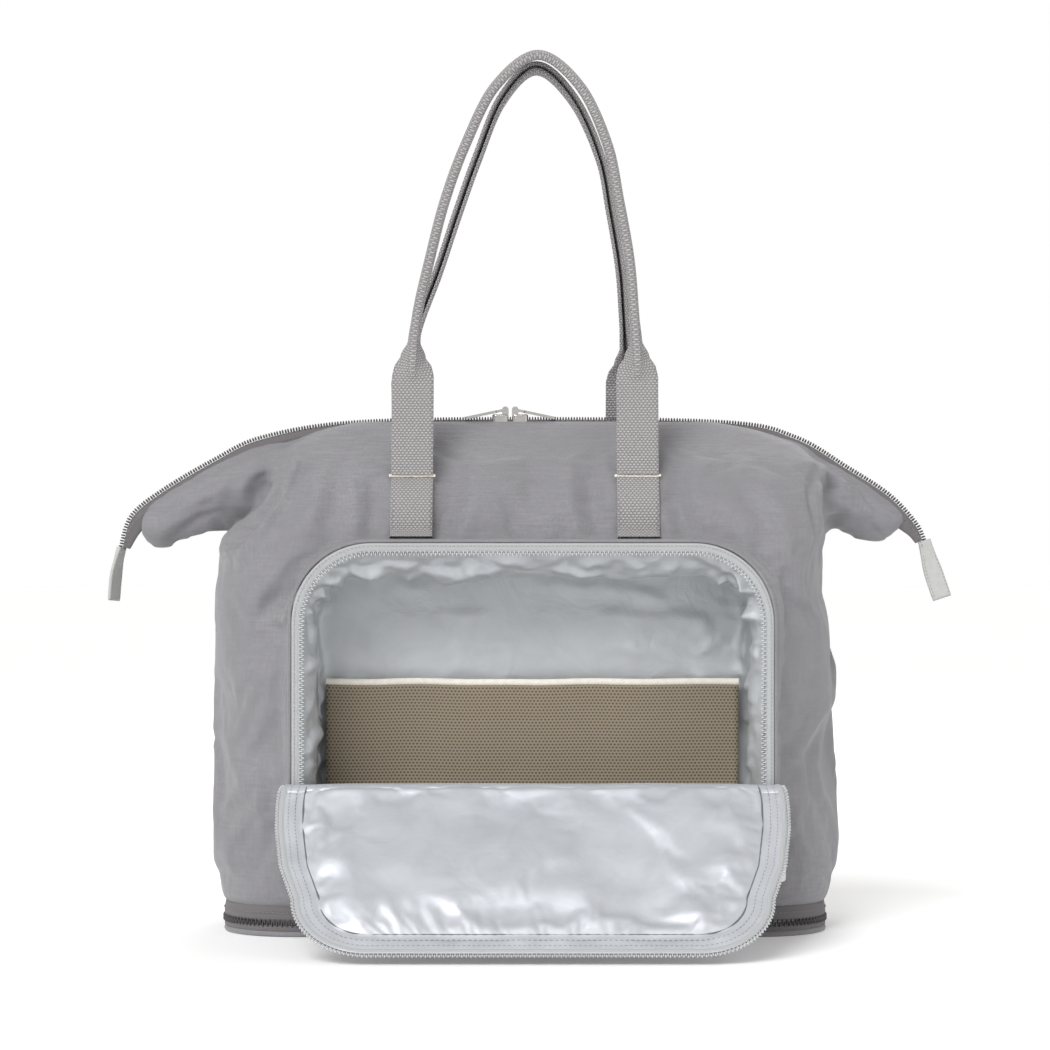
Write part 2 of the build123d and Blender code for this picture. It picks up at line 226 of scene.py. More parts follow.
# ---- materials --------------------------------------------------------------------------------
class Shader:
    """A small builder of node materials round one Principled BSDF."""

    def __init__(self, name, **values):
        self.material = bpy.data.materials.new(name)
        self.material.use_nodes = True
        self.tree = self.material.node_tree
        self.main = self.tree.nodes["Principled BSDF"]
        for socket, value in values.items():
            self.main.inputs[socket.replace("_", " ")].default_value = value
        self.bump_from = None

    def node(self, kind, inputs=None, **settings):
        made = self.tree.nodes.new(kind)
        for key, value in settings.items():
            setattr(made, key, value)
        for key, value in (inputs or {}).items():
            if hasattr(value, "is_linked"):
                self.tree.links.new(value, made.inputs[key])
            else:
                made.inputs[key].default_value = value
        return made

    def place(self, scale=(1, 1, 1), turn=(0, 0, 0)):
        where = self.node("ShaderNodeTexCoord").outputs["Object"]
        return self.node("ShaderNodeMapping", {"Vector": where, "Scale": scale, "Rotation": turn}).outputs[0]

    def cloth_place(self):
        """Across and along the band, in metres."""
        return self.node("ShaderNodeUVMap", uv_map="cloth").outputs[0]

    def math(self, operation, *values):
        return self.node("ShaderNodeMath", dict(enumerate(values)), operation=operation).outputs[0]

    def noise(self, vector, scale, detail=3.0, rough=0.5, distortion=0.0):
        inputs = {"Vector": vector, "Scale": scale, "Detail": detail, "Roughness": rough,
                  "Distortion": distortion}
        return self.node("ShaderNodeTexNoise", inputs).outputs[0]

    def ramp(self, value, *stops):
        made = self.node("ShaderNodeValToRGB", {"Fac": value})
        elements = made.color_ramp.elements
        while len(elements) < len(stops):
            elements.new(0.5)
        for element, (at, color) in zip(elements, stops):
            element.position = at
            element.color = (*color, 1) if isinstance(color, tuple) else (color, color, color, 1)
        return made.outputs[0]

    def mix(self, factor, a, b):
        """Colours are sockets of the shader or three numbers; 6, 7 and 2 are the node's colour sockets."""
        first, second = ((*v, 1) if isinstance(v, tuple) else v for v in (a, b))
        return self.node("ShaderNodeMix", {0: factor, 6: first, 7: second}, data_type="RGBA").outputs[2]

    def color(self, value):
        self.tree.links.new(value, self.main.inputs["Base Color"])

    def rough(self, value):
        self.tree.links.new(value, self.main.inputs["Roughness"])

    def bump(self, height, distance, strength=1.0):
        """Bumps stack: each call adds its own, with its depth in metres."""
        inputs = {"Height": height, "Distance": distance, "Strength": strength}
        if self.bump_from:
            inputs["Normal"] = self.bump_from
        self.bump_from = self.node("ShaderNodeBump", inputs).outputs[0]
        if self.main.inputs["Normal"].is_linked:
            self.tree.links.remove(self.main.inputs["Normal"].links[0])
        self.tree.links.new(self.bump_from, self.main.inputs["Normal"])


def shade(tint, share):
    """A tint made darker or lighter."""
    return tuple(min(v * share, 1) for v in tint)


def weave_height(shader, vector, pitch):
    """A plain weave over a surface of any direction: fine threads along all three axes."""
    turns = (math.tau / pitch,) * 3
    scaled = shader.node("ShaderNodeVectorMath", {0: vector, 1: turns}, operation="MULTIPLY")
    parts = shader.node("ShaderNodeSeparateXYZ", {0: scaled.outputs[0]})
    waves = [shader.math("SINE", parts.outputs[i]) for i in range(3)]
    first = shader.math("MULTIPLY", waves[0], waves[2])
    second = shader.math("MULTIPLY", waves[1], waves[2])
    return shader.math("ADD", first, second)


def canvas_material(name, tint=(0.262, 0.258, 0.276)):
    """Waxed canvas: a fine weave, cloudy wax, and pale creases where the wax has cracked."""
    s = Shader(name, Roughness=0.62, Sheen_Weight=0.25, Sheen_Roughness=0.5)
    s.main.inputs["Specular IOR Level"].default_value = 0.28
    at = s.place()
    clouds = s.noise(at, 14, 5, 0.6)
    drift = s.noise(at, 9, 2)
    stray = s.node("ShaderNodeTexNoise", {"Vector": at, "Scale": 30, "Detail": 2})
    warped = s.node("ShaderNodeVectorMath", {0: at, 1: stray.outputs[1]}, operation="ADD")
    cells = s.node("ShaderNodeTexVoronoi", {"Vector": warped.outputs[0], "Scale": 24, "Randomness": 1},
                   feature="DISTANCE_TO_EDGE")
    cracks = s.ramp(cells.outputs[0], (0.0, 1.0), (0.012, 0.35), (0.035, 0.0))
    worn = s.math("MULTIPLY", cracks, s.ramp(s.noise(at, 7, 2), (0.5, 0.0), (0.72, 1.0)))
    threads = s.noise(s.place((1, 1, 0.08)), 900, 2)
    cross = s.noise(s.place((0.08, 0.08, 1)), 900, 2)
    fibre = s.math("MULTIPLY", s.math("ADD", threads, cross), 0.5)
    base = s.mix(s.ramp(clouds, (0.3, 0.0), (0.7, 1.0)), shade(tint, 0.86), shade(tint, 1.1))
    base = s.mix(s.ramp(fibre, (0.36, 0.0), (0.64, 1.0)), shade(tint, 0.84), base)
    base = s.mix(s.math("MULTIPLY", worn, 0.5), base, shade(tint, 1.55))
    s.color(base)
    s.rough(s.ramp(drift, (0.3, 0.56), (0.7, 0.72)))
    s.bump(weave_height(s, at, 1.1 * MM), 0.06 * MM)
    s.bump(fibre, 0.12 * MM)
    s.bump(s.noise(at, 55, 4, 0.55, 0.4), 0.9 * MM)
    s.bump(cracks, 0.10 * MM, 0.7)
    return s.material


def staggered(s, row_pitch, column_pitch):
    """Place in a cell of a band's staggered rows: across and along it, each from -0.5 to 0.5."""
    parts = s.node("ShaderNodeSeparateXYZ", {0: s.cloth_place()})
    row = s.math("DIVIDE", parts.outputs[1], row_pitch)
    shift = s.math("MULTIPLY", s.math("PINGPONG", s.math("FLOOR", row), 1.0), column_pitch / 2)
    column = s.math("DIVIDE", s.math("ADD", parts.outputs[0], shift), column_pitch)
    return [s.math("SUBTRACT", s.math("FRACT", value), 0.5) for value in (column, row)]


def webbing_material(name, tint=(0.41, 0.396, 0.40)):
    """Coarse webbing: staggered rows of pale floats, with painted shade darkening the recessed gaps between
    them.
    """
    s = Shader(name, Roughness=0.86, Sheen_Weight=0.2)
    s.main.inputs["Specular IOR Level"].default_value = 0.2
    du, dv = staggered(s, 1.55 * MM, 2.3 * MM)
    reach = s.math("ADD", s.math("POWER", s.math("ABSOLUTE", s.math("MULTIPLY", du, 2.3)), 2.4),
                   s.math("POWER", s.math("ABSOLUTE", s.math("MULTIPLY", dv, 2.1)), 2.4))
    float_height = s.math("SUBTRACT", 1.0, s.math("MINIMUM", reach, 1.0))
    yarn = s.noise(s.place(), 1600, 2)
    # darker in the gaps between floats: painted shade in the weave's hollows
    color = s.mix(s.ramp(float_height, (0.05, 0.0), (0.6, 1.0)), shade(tint, 0.55), shade(tint, 1.14))
    color = s.mix(s.ramp(yarn, (0.3, 0.0), (0.7, 0.35)), color, shade(tint, 0.7))
    s.color(color)
    s.bump(float_height, 0.55 * MM)
    s.bump(yarn, 0.08 * MM)
    return s.material


def lining_material(name, tint=(0.60, 0.62, 0.66), crumple=0.6):
    """Coated silver cloth: satin, with small soft crumples; its colour is painted lighter on their crests and
    darker in their hollows, painted shade.
    """
    s = Shader(name, Metallic=0.42, Roughness=0.5)
    s.main.inputs["Specular IOR Level"].default_value = 0.3
    at = s.place()
    folds = s.noise(at, 34, 4, 0.55, 1.2)
    fine = s.noise(at, 130, 3, 0.6, 0.6)
    # lighter on the crumples' crests, darker in their hollows: painted shade following the bump
    s.color(s.mix(s.ramp(folds, (0.3, 0.0), (0.7, 1.0)), shade(tint, 0.93), shade(tint, 1.05)))
    s.rough(s.ramp(fine, (0.3, 0.44), (0.7, 0.54)))
    s.bump(folds, 1.6 * MM * crumple)
    s.bump(fine, 0.25 * MM * crumple)
    s.bump(weave_height(s, at, 0.9 * MM), 0.015 * MM)
    return s.material


def tape_material(name, tint):
    """Woven zip tape: fine ribs along its length, with painted shade in the grooves between them."""
    s = Shader(name, Roughness=0.78, Sheen_Weight=0.15)
    s.main.inputs["Specular IOR Level"].default_value = 0.25
    parts = s.node("ShaderNodeSeparateXYZ", {0: s.cloth_place()})
    ribs = s.math("SINE", s.math("MULTIPLY", parts.outputs[0], math.tau / (0.9 * MM)))
    zigzag = s.math("ADD", parts.outputs[1], s.math("PINGPONG", parts.outputs[0], 0.9 * MM))
    chevron = s.math("SINE", s.math("MULTIPLY", zigzag, math.tau / (0.8 * MM)))
    height = s.math("MULTIPLY", s.math("ADD", ribs, chevron), 0.5)
    # darker where the ribs' height is low: painted shade in the grooves
    s.color(s.mix(s.ramp(height, (0.3, 0.0), (0.75, 1.0)), shade(tint, 0.8), tint))
    s.bump(height, 0.12 * MM)
    return s.material


def plain_material(name, tint, rough=0.5, metal=0.0, grain=0.0, grain_scale=400, mottled=0.05):
    """A material with slight unevenness in colour and gloss."""
    s = Shader(name, Roughness=rough, Metallic=metal)
    at = s.place()
    spots = s.noise(at, grain_scale * 0.25, 4)
    s.color(s.mix(s.ramp(spots, (0.3, 0.0), (0.7, 1.0)), shade(tint, 1 - mottled * 2), tint))
    s.rough(s.ramp(spots, (0.3, rough * 0.85), (0.7, min(rough * 1.15, 1))))
    if grain:
        s.bump(s.noise(at, grain_scale, 4, 0.6), grain)
    return s.material


CANVAS = canvas_material("waxed_canvas")
WEBBING = webbing_material("webbing")
LINING = lining_material("silver_lining", crumple=0.22)
# the same silver cloth in a darker tint: painted shade for the pocket's inside; its deeper crumples are real
SHADED_INSIDE_LINING = lining_material("silver_lining_inside_painted_shade", (0.54, 0.56, 0.58), 0.7)
ZIP_TAPE = tape_material("zip_tape_warm_grey", (0.20, 0.188, 0.192))
PALE_TAPE = tape_material("zip_tape_pale", (0.57, 0.585, 0.60))
TEETH = plain_material("zip_teeth_dark", (0.075, 0.07, 0.072), 0.5)
PALE_TEETH = plain_material("zip_teeth_pale", (0.60, 0.615, 0.63), 0.35)
CREAM = plain_material("cream_thread", (0.90, 0.85, 0.76), 0.8, 0, 0.1 * MM, 1500)
GREY_THREAD = plain_material("grey_thread", (0.26, 0.25, 0.26), 0.8, 0, 0.1 * MM, 1500)
SILVER_THREAD = plain_material("silver_thread", (0.33, 0.34, 0.35), 0.7, 0, 0.1 * MM, 1500)
TAB_RIBBON = plain_material("tab_ribbon", (0.50, 0.50, 0.49), 0.8, 0, 0.2 * MM, 900)
NICKEL = plain_material("polished_nickel", (0.60, 0.59, 0.57), 0.2, 1.0, 0, 300, 0.02)


# ---- soft forms -------------------------------------------------------------------------------
def read_points(piece, what="co"):
    flat = np.empty(len(piece.data.vertices) * 3)
    piece.data.vertices.foreach_get(what, flat)
    return flat.reshape(-1, 3)


def write_points(piece, points):
    piece.data.vertices.foreach_set("co", points.ravel())
    piece.data.update()


def soften(piece, voxel, rounds, keep_holes=False):
    """Fuses overlapping closed forms into one skin of even faces, and relaxes it."""
    if not keep_holes:
        remesh = piece.modifiers.new("fuse", "REMESH")
        remesh.mode = "VOXEL"
        remesh.voxel_size = voxel
    relax = piece.modifiers.new("relax", "SMOOTH")
    relax.iterations = rounds
    relax.factor = 0.5
    return use_modifiers(piece)


def subdivide(piece, levels=1):
    piece.modifiers.new("subdivide", "SUBSURF").levels = levels
    return use_modifiers(piece)


def thicken(piece, thickness, offset=-1):
    """Gives an open sheet its cloth's thickness."""
    solid = piece.modifiers.new("thicken", "SOLIDIFY")
    solid.thickness = thickness
    solid.offset = offset
    return use_modifiers(piece)


def drop_faces(piece, unwanted):
    """Takes away the faces whose middles are unwanted."""
    mesh = piece.data
    keep = [tuple(f.vertices) for f in mesh.polygons if not unwanted(f.center)]
    used = sorted({v for f in keep for v in f})
    number = {v: i for i, v in enumerate(used)}
    fresh = bpy.data.meshes.new(piece.name)
    fresh.from_pydata([tuple(mesh.vertices[v].co) for v in used], [], [[number[v] for v in f] for f in keep])
    fresh.polygons.foreach_set("use_smooth", [True] * len(fresh.polygons))
    fresh.materials.append(mesh.materials[0])
    piece.data = fresh


def join(name, pieces):
    with bpy.context.temp_override(active_object=pieces[0], selected_editable_objects=pieces):
        bpy.ops.object.join()
    pieces[0].name = name
    return pieces[0]


def simulate(piece, pinned, frames, pressure, growth, cap):
    """Lets a skin of cloth swell and buckle: pinned points stay, and none moves further than its cap."""
    start = read_points(piece)
    group = piece.vertex_groups.new(name="pinned")
    for i, weight in enumerate(pinned):
        if weight > 0.01:
            group.add([i], float(weight), "REPLACE")
    cloth = piece.modifiers.new("cloth", "CLOTH")
    settings = cloth.settings
    settings.quality = 5
    settings.mass = 0.25
    settings.tension_stiffness = settings.compression_stiffness = 18
    settings.shear_stiffness = 6
    settings.bending_stiffness = 0.5
    settings.vertex_group_mass = "pinned"
    settings.use_pressure = True
    settings.uniform_pressure_force = pressure
    settings.shrink_min = -growth
    settings.effector_weights.gravity = 0
    cloth.collision_settings.use_collision = False
    cloth.point_cache.frame_start, cloth.point_cache.frame_end = 1, frames
    for step in range(1, frames + 1):
        bpy.context.scene.frame_set(step)
    use_modifiers(piece)
    bpy.context.scene.frame_set(1)
    piece.vertex_groups.clear()
    move = read_points(piece) - start
    reach = np.linalg.norm(move, axis=1)
    scale = np.where(reach > 1e-9, cap * np.tanh(reach / cap) / np.maximum(reach, 1e-9), 0)
    write_points(piece, start + move * scale[:, None])


def nearest_on(points, line):
    """Each point's distance from a line of points, and how far along the line that is, from 0 to 1."""
    best = np.full(len(points), 1e9)
    along = np.zeros(len(points))
    line = np.array([tuple(p) for p in line])
    for i in range(len(line) - 1):
        a, run = line[i], line[i + 1] - line[i]
        t = np.clip(((points - a) @ run) / (run @ run), 0, 1)
        d = np.linalg.norm(points - (a + t[:, None] * run), axis=1)
        closer = d < best
        best[closer] = d[closer]
        along[closer] = (i + t[closer]) / (len(line) - 1)
    return best, along


def press_folds(piece, folds):
    """Presses folds into a skin: each is its points, half width and depth in mm; negative depth raises."""
    points, normals = read_points(piece), read_points(piece, "normal")
    move = np.zeros(len(points))
    for line, half, depth in folds:
        d, along = nearest_on(points, [Vector(p) * MM for p in line])
        fade = np.sqrt(np.clip(np.sin(np.pi * np.clip(along, 0.02, 0.98)), 0, 1))
        r = d / (half * MM)
        valley = np.exp(-(r ** 2) * 2.0) - 0.35 * np.exp(-((r - 1.35) ** 2) * 4.0)
        move -= valley * fade * depth * MM
    write_points(piece, points + normals * move[:, None])


def ripple(piece, size, depth, seed=0, octaves=3, weight=None, stretch=(1, 1, 1), sharp=0.0):
    """Uneven swelling of a skin along its normals, in metres."""
    points, normals = read_points(piece), read_points(piece, "normal")
    scaled = points * (np.array(stretch) / size) + seed * 17.3
    raw = np.array([noise.fractal(Vector(p), 1.0, 2.1, octaves) for p in scaled])
    if sharp:
        raw = (1 - sharp) * raw + sharp * (0.6 - 2.0 * np.abs(raw))
    if weight is not None:
        raw = raw * weight(points)
    write_points(piece, points + normals * (raw * depth)[:, None])


def window_path(half, low, high, top_radius, low_radius, y, step=3.0):
    """The pocket's outline from the lower left up and over to the lower right; sizes are in mm."""
    x0 = POCKET_X / MM
    corners = []

    def arc(cx, cz, radius, start, end):
        turns = max(3, round(radius * abs(end - start) / step))
        for k in range(turns + 1):
            t = start + (end - start) * k / turns
            corners.append(Vector((cx + radius * math.cos(t), y, cz + radius * math.sin(t))) * MM)

    if low_radius:
        arc(x0 - half + low_radius, low + low_radius, low_radius, -math.pi / 2, -math.pi)
    else:
        corners.append(Vector((x0 - half, y, low)) * MM)
    arc(x0 - half + top_radius, high - top_radius, top_radius, math.pi, math.pi / 2)
    arc(x0 + half - top_radius, high - top_radius, top_radius, math.pi / 2, 0)
    if low_radius:
        arc(x0 + half - low_radius, low + low_radius, low_radius, 0, -math.pi / 2)
    else:
        corners.append(Vector((x0 + half, y, low)) * MM)
    return corners


def window_ring(half, low, high, top_radius, low_radius, y, count=160):
    """The pocket outline as a ring of evenly spaced points."""
    path = window_path(half, low, high, top_radius, low_radius, y)
    path.append(path[0])
    length = sum((b - a).length for a, b in zip(path, path[1:]))
    return even(path, length / count)[:count]


# ---- the bag's cloth --------------------------------------------------------------------------
# The top zip's line over the bag, x and z in mm, and the cloth's outline under it.
ZIP_LINE = [(-246, 229), (-240, 247), (-222, 262), (-190, 281), (-160, 295), (-104, 304), (0, 306),
            (123, 304), (165, 295), (196, 277), (222, 260), (238, 243), (243, 233)]
# Height, left half width, right half width, half depth and corner radius of the cloth, in mm.
BODY_RINGS = [
    (15, 177, 178, 76, 44), (21, 182, 182, 80, 47), (45, 185, 185, 82, 50), (100, 184, 183, 83, 52),
    (140, 184, 183, 83, 52), (175, 182, 183, 83, 52), (205, 182, 181, 82, 50), (226, 182, 182, 79, 50),
    (240, 174, 182, 75, 44), (254, 157, 178, 69, 38), (268, 149, 175, 59, 30), (281, 145, 178, 45, 24),
    (292, 142, 165, 28, 18), (301, 125, 142, 15, 11), (306, 104, 116, 8, 6)]
# Across from the middle: foot of each ear and its half thickness.
LEFT_EAR = [(-120, 256, 30), (-146, 248, 27), (-166, 243, 23), (-186, 239, 19), (-205, 234, 14),
            (-220, 229, 10), (-230, 231, 7), (-234, 237, 4)]
RIGHT_EAR = [(146, 252, 28), (168, 246, 24), (187, 239, 20), (204, 233, 15), (217, 231, 11), (228, 240, 7),
             (233, 245, 4)]


def body_core():
    rings = []
    for z, left, right, depth, radius in BODY_RINGS:
        middle, half = (right - left) / 2, (right + left) / 2
        rings.append([(p + Vector((middle, 0, z))) * MM for p in ring_points(half, depth, radius, 140)])
    return closed_loft("core", rings, CANVAS)


def ear(name, stations):
    """A folded ear: a deep drop shape under the zip, thin at the top and rounded at its foot."""
    rings = []
    for x, foot, half in stations:
        top = straight_table(ZIP_LINE, x) + 1.4
        flat = 7.0 / (top - foot)
        ring = []
        for k in range(48):
            turn = math.tau * k / 48
            share = (1 - math.cos(turn)) / 2
            below = max(share - flat, 0) / (1 - flat)
            belly = math.sin(math.pi * below ** 0.75) ** 0.9 if 0 < below < 1 else 0
            strip = (1.2 + 0.3 * min(share * (top - foot), 8)) * (1 - below)
            y = math.copysign(half * belly + strip, math.sin(turn)) if k not in (0, 24) else 0
            ring.append(Vector((x, y, lerp(top, foot, share))) * MM)
        rings.append(ring)
    return closed_loft(name, rings, CANVAS)


def pocket_bulge():
    front = FRONT_Y / MM
    steps = [(-50, 0), (front + 9, 0), (front + 4, 0.6), (front + 1.2, 2.4), (front, 5)]
    rings = []
    for y, inset in steps:
        rings.append(window_ring(145.5 - inset, 42 + inset, 233 - inset, 48 - inset, 24 - inset, y))
    return closed_loft("bulge", rings, CANVAS)


def below_zip(points):
    """Full weight on the open cloth, and none where it is sewn to the zip or the base."""
    edge = np.interp(points[:, 0] / MM, [x for x, _ in ZIP_LINE], [z for _, z in ZIP_LINE]) * MM
    return np.clip((edge - points[:, 2] - 0.006) / 0.02, 0, 1) * np.clip((points[:, 2] - 0.018) / 0.02, 0, 1)


def body_cloth():
    piece = join("body_cloth", [body_core(), ear("left", LEFT_EAR), ear("right", RIGHT_EAR), pocket_bulge()])
    soften(piece, 3.6 * MM, 3)
    press_folds(piece, BODY_FOLDS)
    ripple(piece, 0.085, 0.0026, 1, 2, below_zip)
    ripple(piece, 0.034, 0.0012, 2, 3, below_zip, (1, 1, 0.7), 0.55)
    drop_faces(piece, in_mouth)
    points = read_points(piece)
    pins = 1 - below_zip(points)
    mouth = nearest_on(points, window_path(139, 44, 231, 44, 20, FRONT_Y / MM))[0]
    pins = np.maximum(pins, np.clip(1.6 - mouth / 0.010, 0, 1))
    simulate(piece, pins, 16, 0.25, 0.034, 0.006)
    soften(piece, 0, 1, keep_holes=True)
    subdivide(piece)
    press_folds(piece, BODY_CREASES)
    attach(piece, "bag")
    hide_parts("front_panel", "rear_panel", "left_side_panel", "right_side_panel", "left_ear",
                "right_ear", "pocket_rim", "main_lining")
    return piece


def in_mouth(point):
    """Whether a point of the front lies inside the zip tape's outer edge, where the cloth is cut out."""
    half, low, high, radius = 137, 50, 230, 42
    x, y, z = point / MM
    across = abs(x - POCKET_X / MM)
    if across > half - radius and z > high - radius:
        return y < -84 and math.hypot(across - half + radius, z - high + radius) < radius
    return y < -84 and across < half and low < z < high


# Folds, each with its points, half width and depth in mm. Depth below 0 is a raised crease.
BODY_FOLDS = [
    # left corner of the roof: the crest, and the pocket of shadow behind it over the ear
    ([(-143, -16, 298), (-139, -42, 282), (-150, -60, 257), (-158, -68, 240), (-182, -66, 212)], 7, -5),
    ([(-152, -24, 280), (-160, -26, 262), (-164, -28, 250), (-182, -22, 241)], 8, 7),
    ([(-168, -60, 236), (-186, -40, 233), (-190, 0, 232)], 6, 6),
    ([(-128, -46, 288), (-131, -60, 268), (-140, -74, 236)], 8, 4),
    # the deep fold beside the pocket's upper corner, and the small ones below it
    ([(-158, -84, 190), (-148, -87, 201), (-136, -90, 216)], 9, 12),
    ([(-186, -64, 204), (-170, -80, 213), (-150, -86, 222), (-128, -86, 231)], 8, -4),
    ([(-172, -78, 172), (-160, -84, 184), (-146, -88, 192)], 7, -3.5),
    ([(-186, -60, 148), (-170, -80, 160), (-156, -84, 166)], 7, 4),
    ([(-182, -66, 108), (-168, -80, 128), (-158, -84, 144)], 8, 4),
    ([(-186, -50, 60), (-174, -76, 80), (-160, -84, 94)], 9, 3.5),
    ([(-170, -80, 44), (-160, -84, 70), (-166, -80, 100)], 9, -2.5),
    # beside the straps
    ([(-92, -56, 276), (-89, -76, 250), (-93, -86, 234)], 9, 5),
    ([(-112, -50, 282), (-110, -72, 256), (-116, -84, 236)], 9, 3),
    ([(-42, -50, 282), (-44, -70, 258), (-50, -84, 238)], 11, 4),
    ([(10, -44, 288), (4, -68, 260), (-8, -84, 238)], 14, 2.5),
    ([(38, -50, 282), (40, -70, 258), (45, -84, 238)], 10, 4),
    ([(92, -50, 284), (90, -70, 258), (98, -84, 238)], 9, 4.5),
    # right corner of the roof and the side under the ear
    ([(182, -10, 281), (179, -34, 270), (173, -48, 258), (180, -54, 236), (176, -66, 212)], 6, -4.5),
    ([(187, -16, 276), (184, -26, 262), (184, -26, 248)], 6, 6),
    ([(150, -80, 220), (160, -80, 200), (174, -70, 184)], 8, 4),
    ([(166, -76, 236), (157, -82, 208), (162, -82, 168), (172, -76, 130)], 8, 4),
    ([(128, -64, 264), (140, -76, 246), (146, -84, 226)], 11, 3.5),
    ([(186, -40, 128), (178, -66, 104), (180, -62, 72)], 10, 4),
    ([(170, -78, 40), (166, -82, 70), (174, -76, 100)], 9, -3),
    # creases that fan out from the roof's corner over the right ear
    ([(186, -18, 276), (200, -24, 254), (212, -18, 236)], 4.5, 4),
    ([(190, -14, 276), (208, -20, 254), (219, -12, 238)], 4.5, -3.5),
    ([(196, -10, 274), (214, -14, 254), (226, -8, 240)], 4, 3),
    # creases along the left ear
    ([(-228, -8, 250), (-208, -14, 260), (-186, -20, 272)], 5, 3),
    ([(-224, -8, 238), (-202, -18, 246), (-178, -24, 252)], 5, -3),
    # rear and sides
    ([(-120, 84, 210), (-60, 86, 190), (0, 86, 200), (70, 86, 180)], 14, 4),
    ([(-140, 80, 120), (-90, 86, 60)], 13, 4),
    ([(140, 80, 150), (60, 86, 60)], 14, 4),
    ([(-100, 76, 250), (-40, 84, 224), (30, 84, 232)], 14, -3),
    ([(-190, 20, 200), (-190, 0, 120), (-188, -20, 60)], 14, 5),
    ([(188, -10, 200), (188, 10, 130), (188, 30, 60)], 14, 5),
    ([(-188, -30, 210), (-190, 10, 170), (-186, 44, 110)], 11, -4),
    ([(186, 36, 210), (188, 0, 170), (186, -40, 130)], 11, -4),
    ([(-150, 60, 262), (-170, 70, 220), (-178, 64, 170)], 10, 4),
    ([(160, 62, 258), (170, 72, 210), (176, 66, 160)], 10, 4),
]


# Sharp creases, pressed into the settled cloth.
BODY_CREASES = [
    ([(-140, -20, 298), (-138, -46, 280), (-147, -62, 258), (-156, -70, 240)], 3.6, -2.2),
    ([(-150, -40, 276), (-152, -46, 264), (-154, -50, 254), (-160, -48, 243)], 3.2, 3.0),
    ([(-152, -26, 280), (-166, -22, 274), (-184, -16, 270)], 3.4, -1.5),
    ([(-162, -40, 241), (-174, -34, 239), (-188, -24, 238)], 3.4, 2.6),
    ([(-152, -86, 196), (-143, -89, 205), (-134, -90, 218)], 4.5, 5.0),
    ([(-158, -84, 186), (-146, -88, 190), (-141, -90, 196)], 4.0, 3.0),
    ([(-186, -60, 214), (-172, -78, 206), (-164, -82, 196), (-160, -84, 182)], 3.2, 1.6),
    ([(-176, -76, 232), (-164, -80, 224), (-150, -86, 219)], 3.4, -1.6),
    ([(-186, -56, 170), (-174, -76, 164), (-164, -82, 156)], 3.0, 1.5),
    ([(-172, -78, 146), (-164, -82, 132), (-162, -84, 112)], 3.2, 1.5),
    ([(-184, -62, 120), (-172, -78, 110), (-160, -84, 106)], 3.0, -1.3),
    ([(-180, -68, 84), (-170, -80, 70), (-158, -84, 64)], 3.2, 1.6),
    ([(-100, -58, 276), (-96, -70, 262), (-97, -78, 248)], 3.0, 1.3),
    ([(-46, -60, 272), (-44, -72, 256), (-47, -80, 244)], 3.2, 1.3),
    ([(46, -64, 266), (44, -74, 252), (48, -82, 240)], 3.2, 1.3),
    ([(94, -62, 270), (96, -74, 254), (104, -80, 240)], 3.0, 1.4),
    ([(183, -14, 280), (178, -36, 270), (172, -52, 258), (178, -58, 240)], 3.4, -2.2),
    ([(186, -20, 276), (178, -42, 260), (181, -44, 248)], 3.0, 3.0),
    ([(187, -18, 277), (200, -26, 258), (212, -20, 237)], 3.2, 2.4),
    ([(189, -16, 277), (206, -22, 259), (220, -14, 240)], 3.0, -1.8),
    ([(192, -14, 275), (210, -18, 259), (224, -11, 243)], 2.8, 1.8),
    ([(150, -84, 216), (158, -82, 204), (168, -74, 194)], 3.4, 2.0),
    ([(156, -82, 190), (164, -80, 172), (176, -66, 156)], 3.2, 1.6),
    ([(160, -80, 128), (168, -78, 112), (178, -66, 104)], 3.2, 1.5),
    ([(158, -84, 84), (168, -80, 70), (176, -72, 50)], 3.2, -1.5),
    ([(-186, 10, 196), (-188, 24, 160), (-184, 48, 132)], 4.0, 2.0),
    ([(-186, -24, 120), (-188, 4, 90), (-186, 30, 44)], 4.0, 2.0),
    ([(182, 6, 200), (184, -20, 160), (182, -44, 136)], 4.0, 2.0),
    ([(184, 30, 130), (186, 4, 96), (184, -26, 44)], 4.0, 2.0),
    ([(-150, 74, 230), (-120, 82, 200), (-108, 84, 150)], 3.6, 1.7),
    ([(30, 84, 230), (6, 86, 190), (16, 86, 140)], 3.6, 1.4),
    ([(150, 74, 232), (124, 82, 196), (110, 84, 156)], 3.6, 1.7),
]


# ---- small repeated things --------------------------------------------------------------------
def finish(piece, body, slot, *nodes):
    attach(piece, body)
    if nodes:
        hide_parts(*nodes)
    return piece


def teeth(name, path, size, pitch, material, up, lift=0.0):
    """A row of zip teeth: size is across, along and high, in mm; every other tooth steps sideways."""
    wide, deep, high = (v * MM for v in size)
    verts, faces = [], []
    spots = even(path, pitch * MM)
    for i, point in enumerate(spots):
        tangent = (spots[min(i + 1, len(spots) - 1)] - spots[max(i - 1, 0)]).normalized()
        normal = up(point) if callable(up) else up
        across = normal.cross(tangent).normalized()
        normal = tangent.cross(across)
        middle = point + across * ((0.25 if i % 2 else -0.25) * wide) + normal * lift
        first = len(verts)
        for n, shrink in ((0, 1.0), (0.6, 1.0), (1, 0.55)):
            for a, t in ((-1, -1), (1, -1), (1, 1), (-1, 1)):
                verts.append(middle + across * (a * wide / 2 * shrink) + tangent * (t * deep / 2 * shrink)
                             + normal * (n * high))
        for level in (0, 4):
            for k in range(4):
                a, b = first + level + k, first + level + (k + 1) % 4
                faces.append((a, b, b + 4, a + 4))
        faces.append((first + 8, first + 9, first + 10, first + 11))
    return make_object(name, verts, faces, material, soft=False)


THREAD_STEPS = (0, 0.25, 0.5, 0.75, 1)


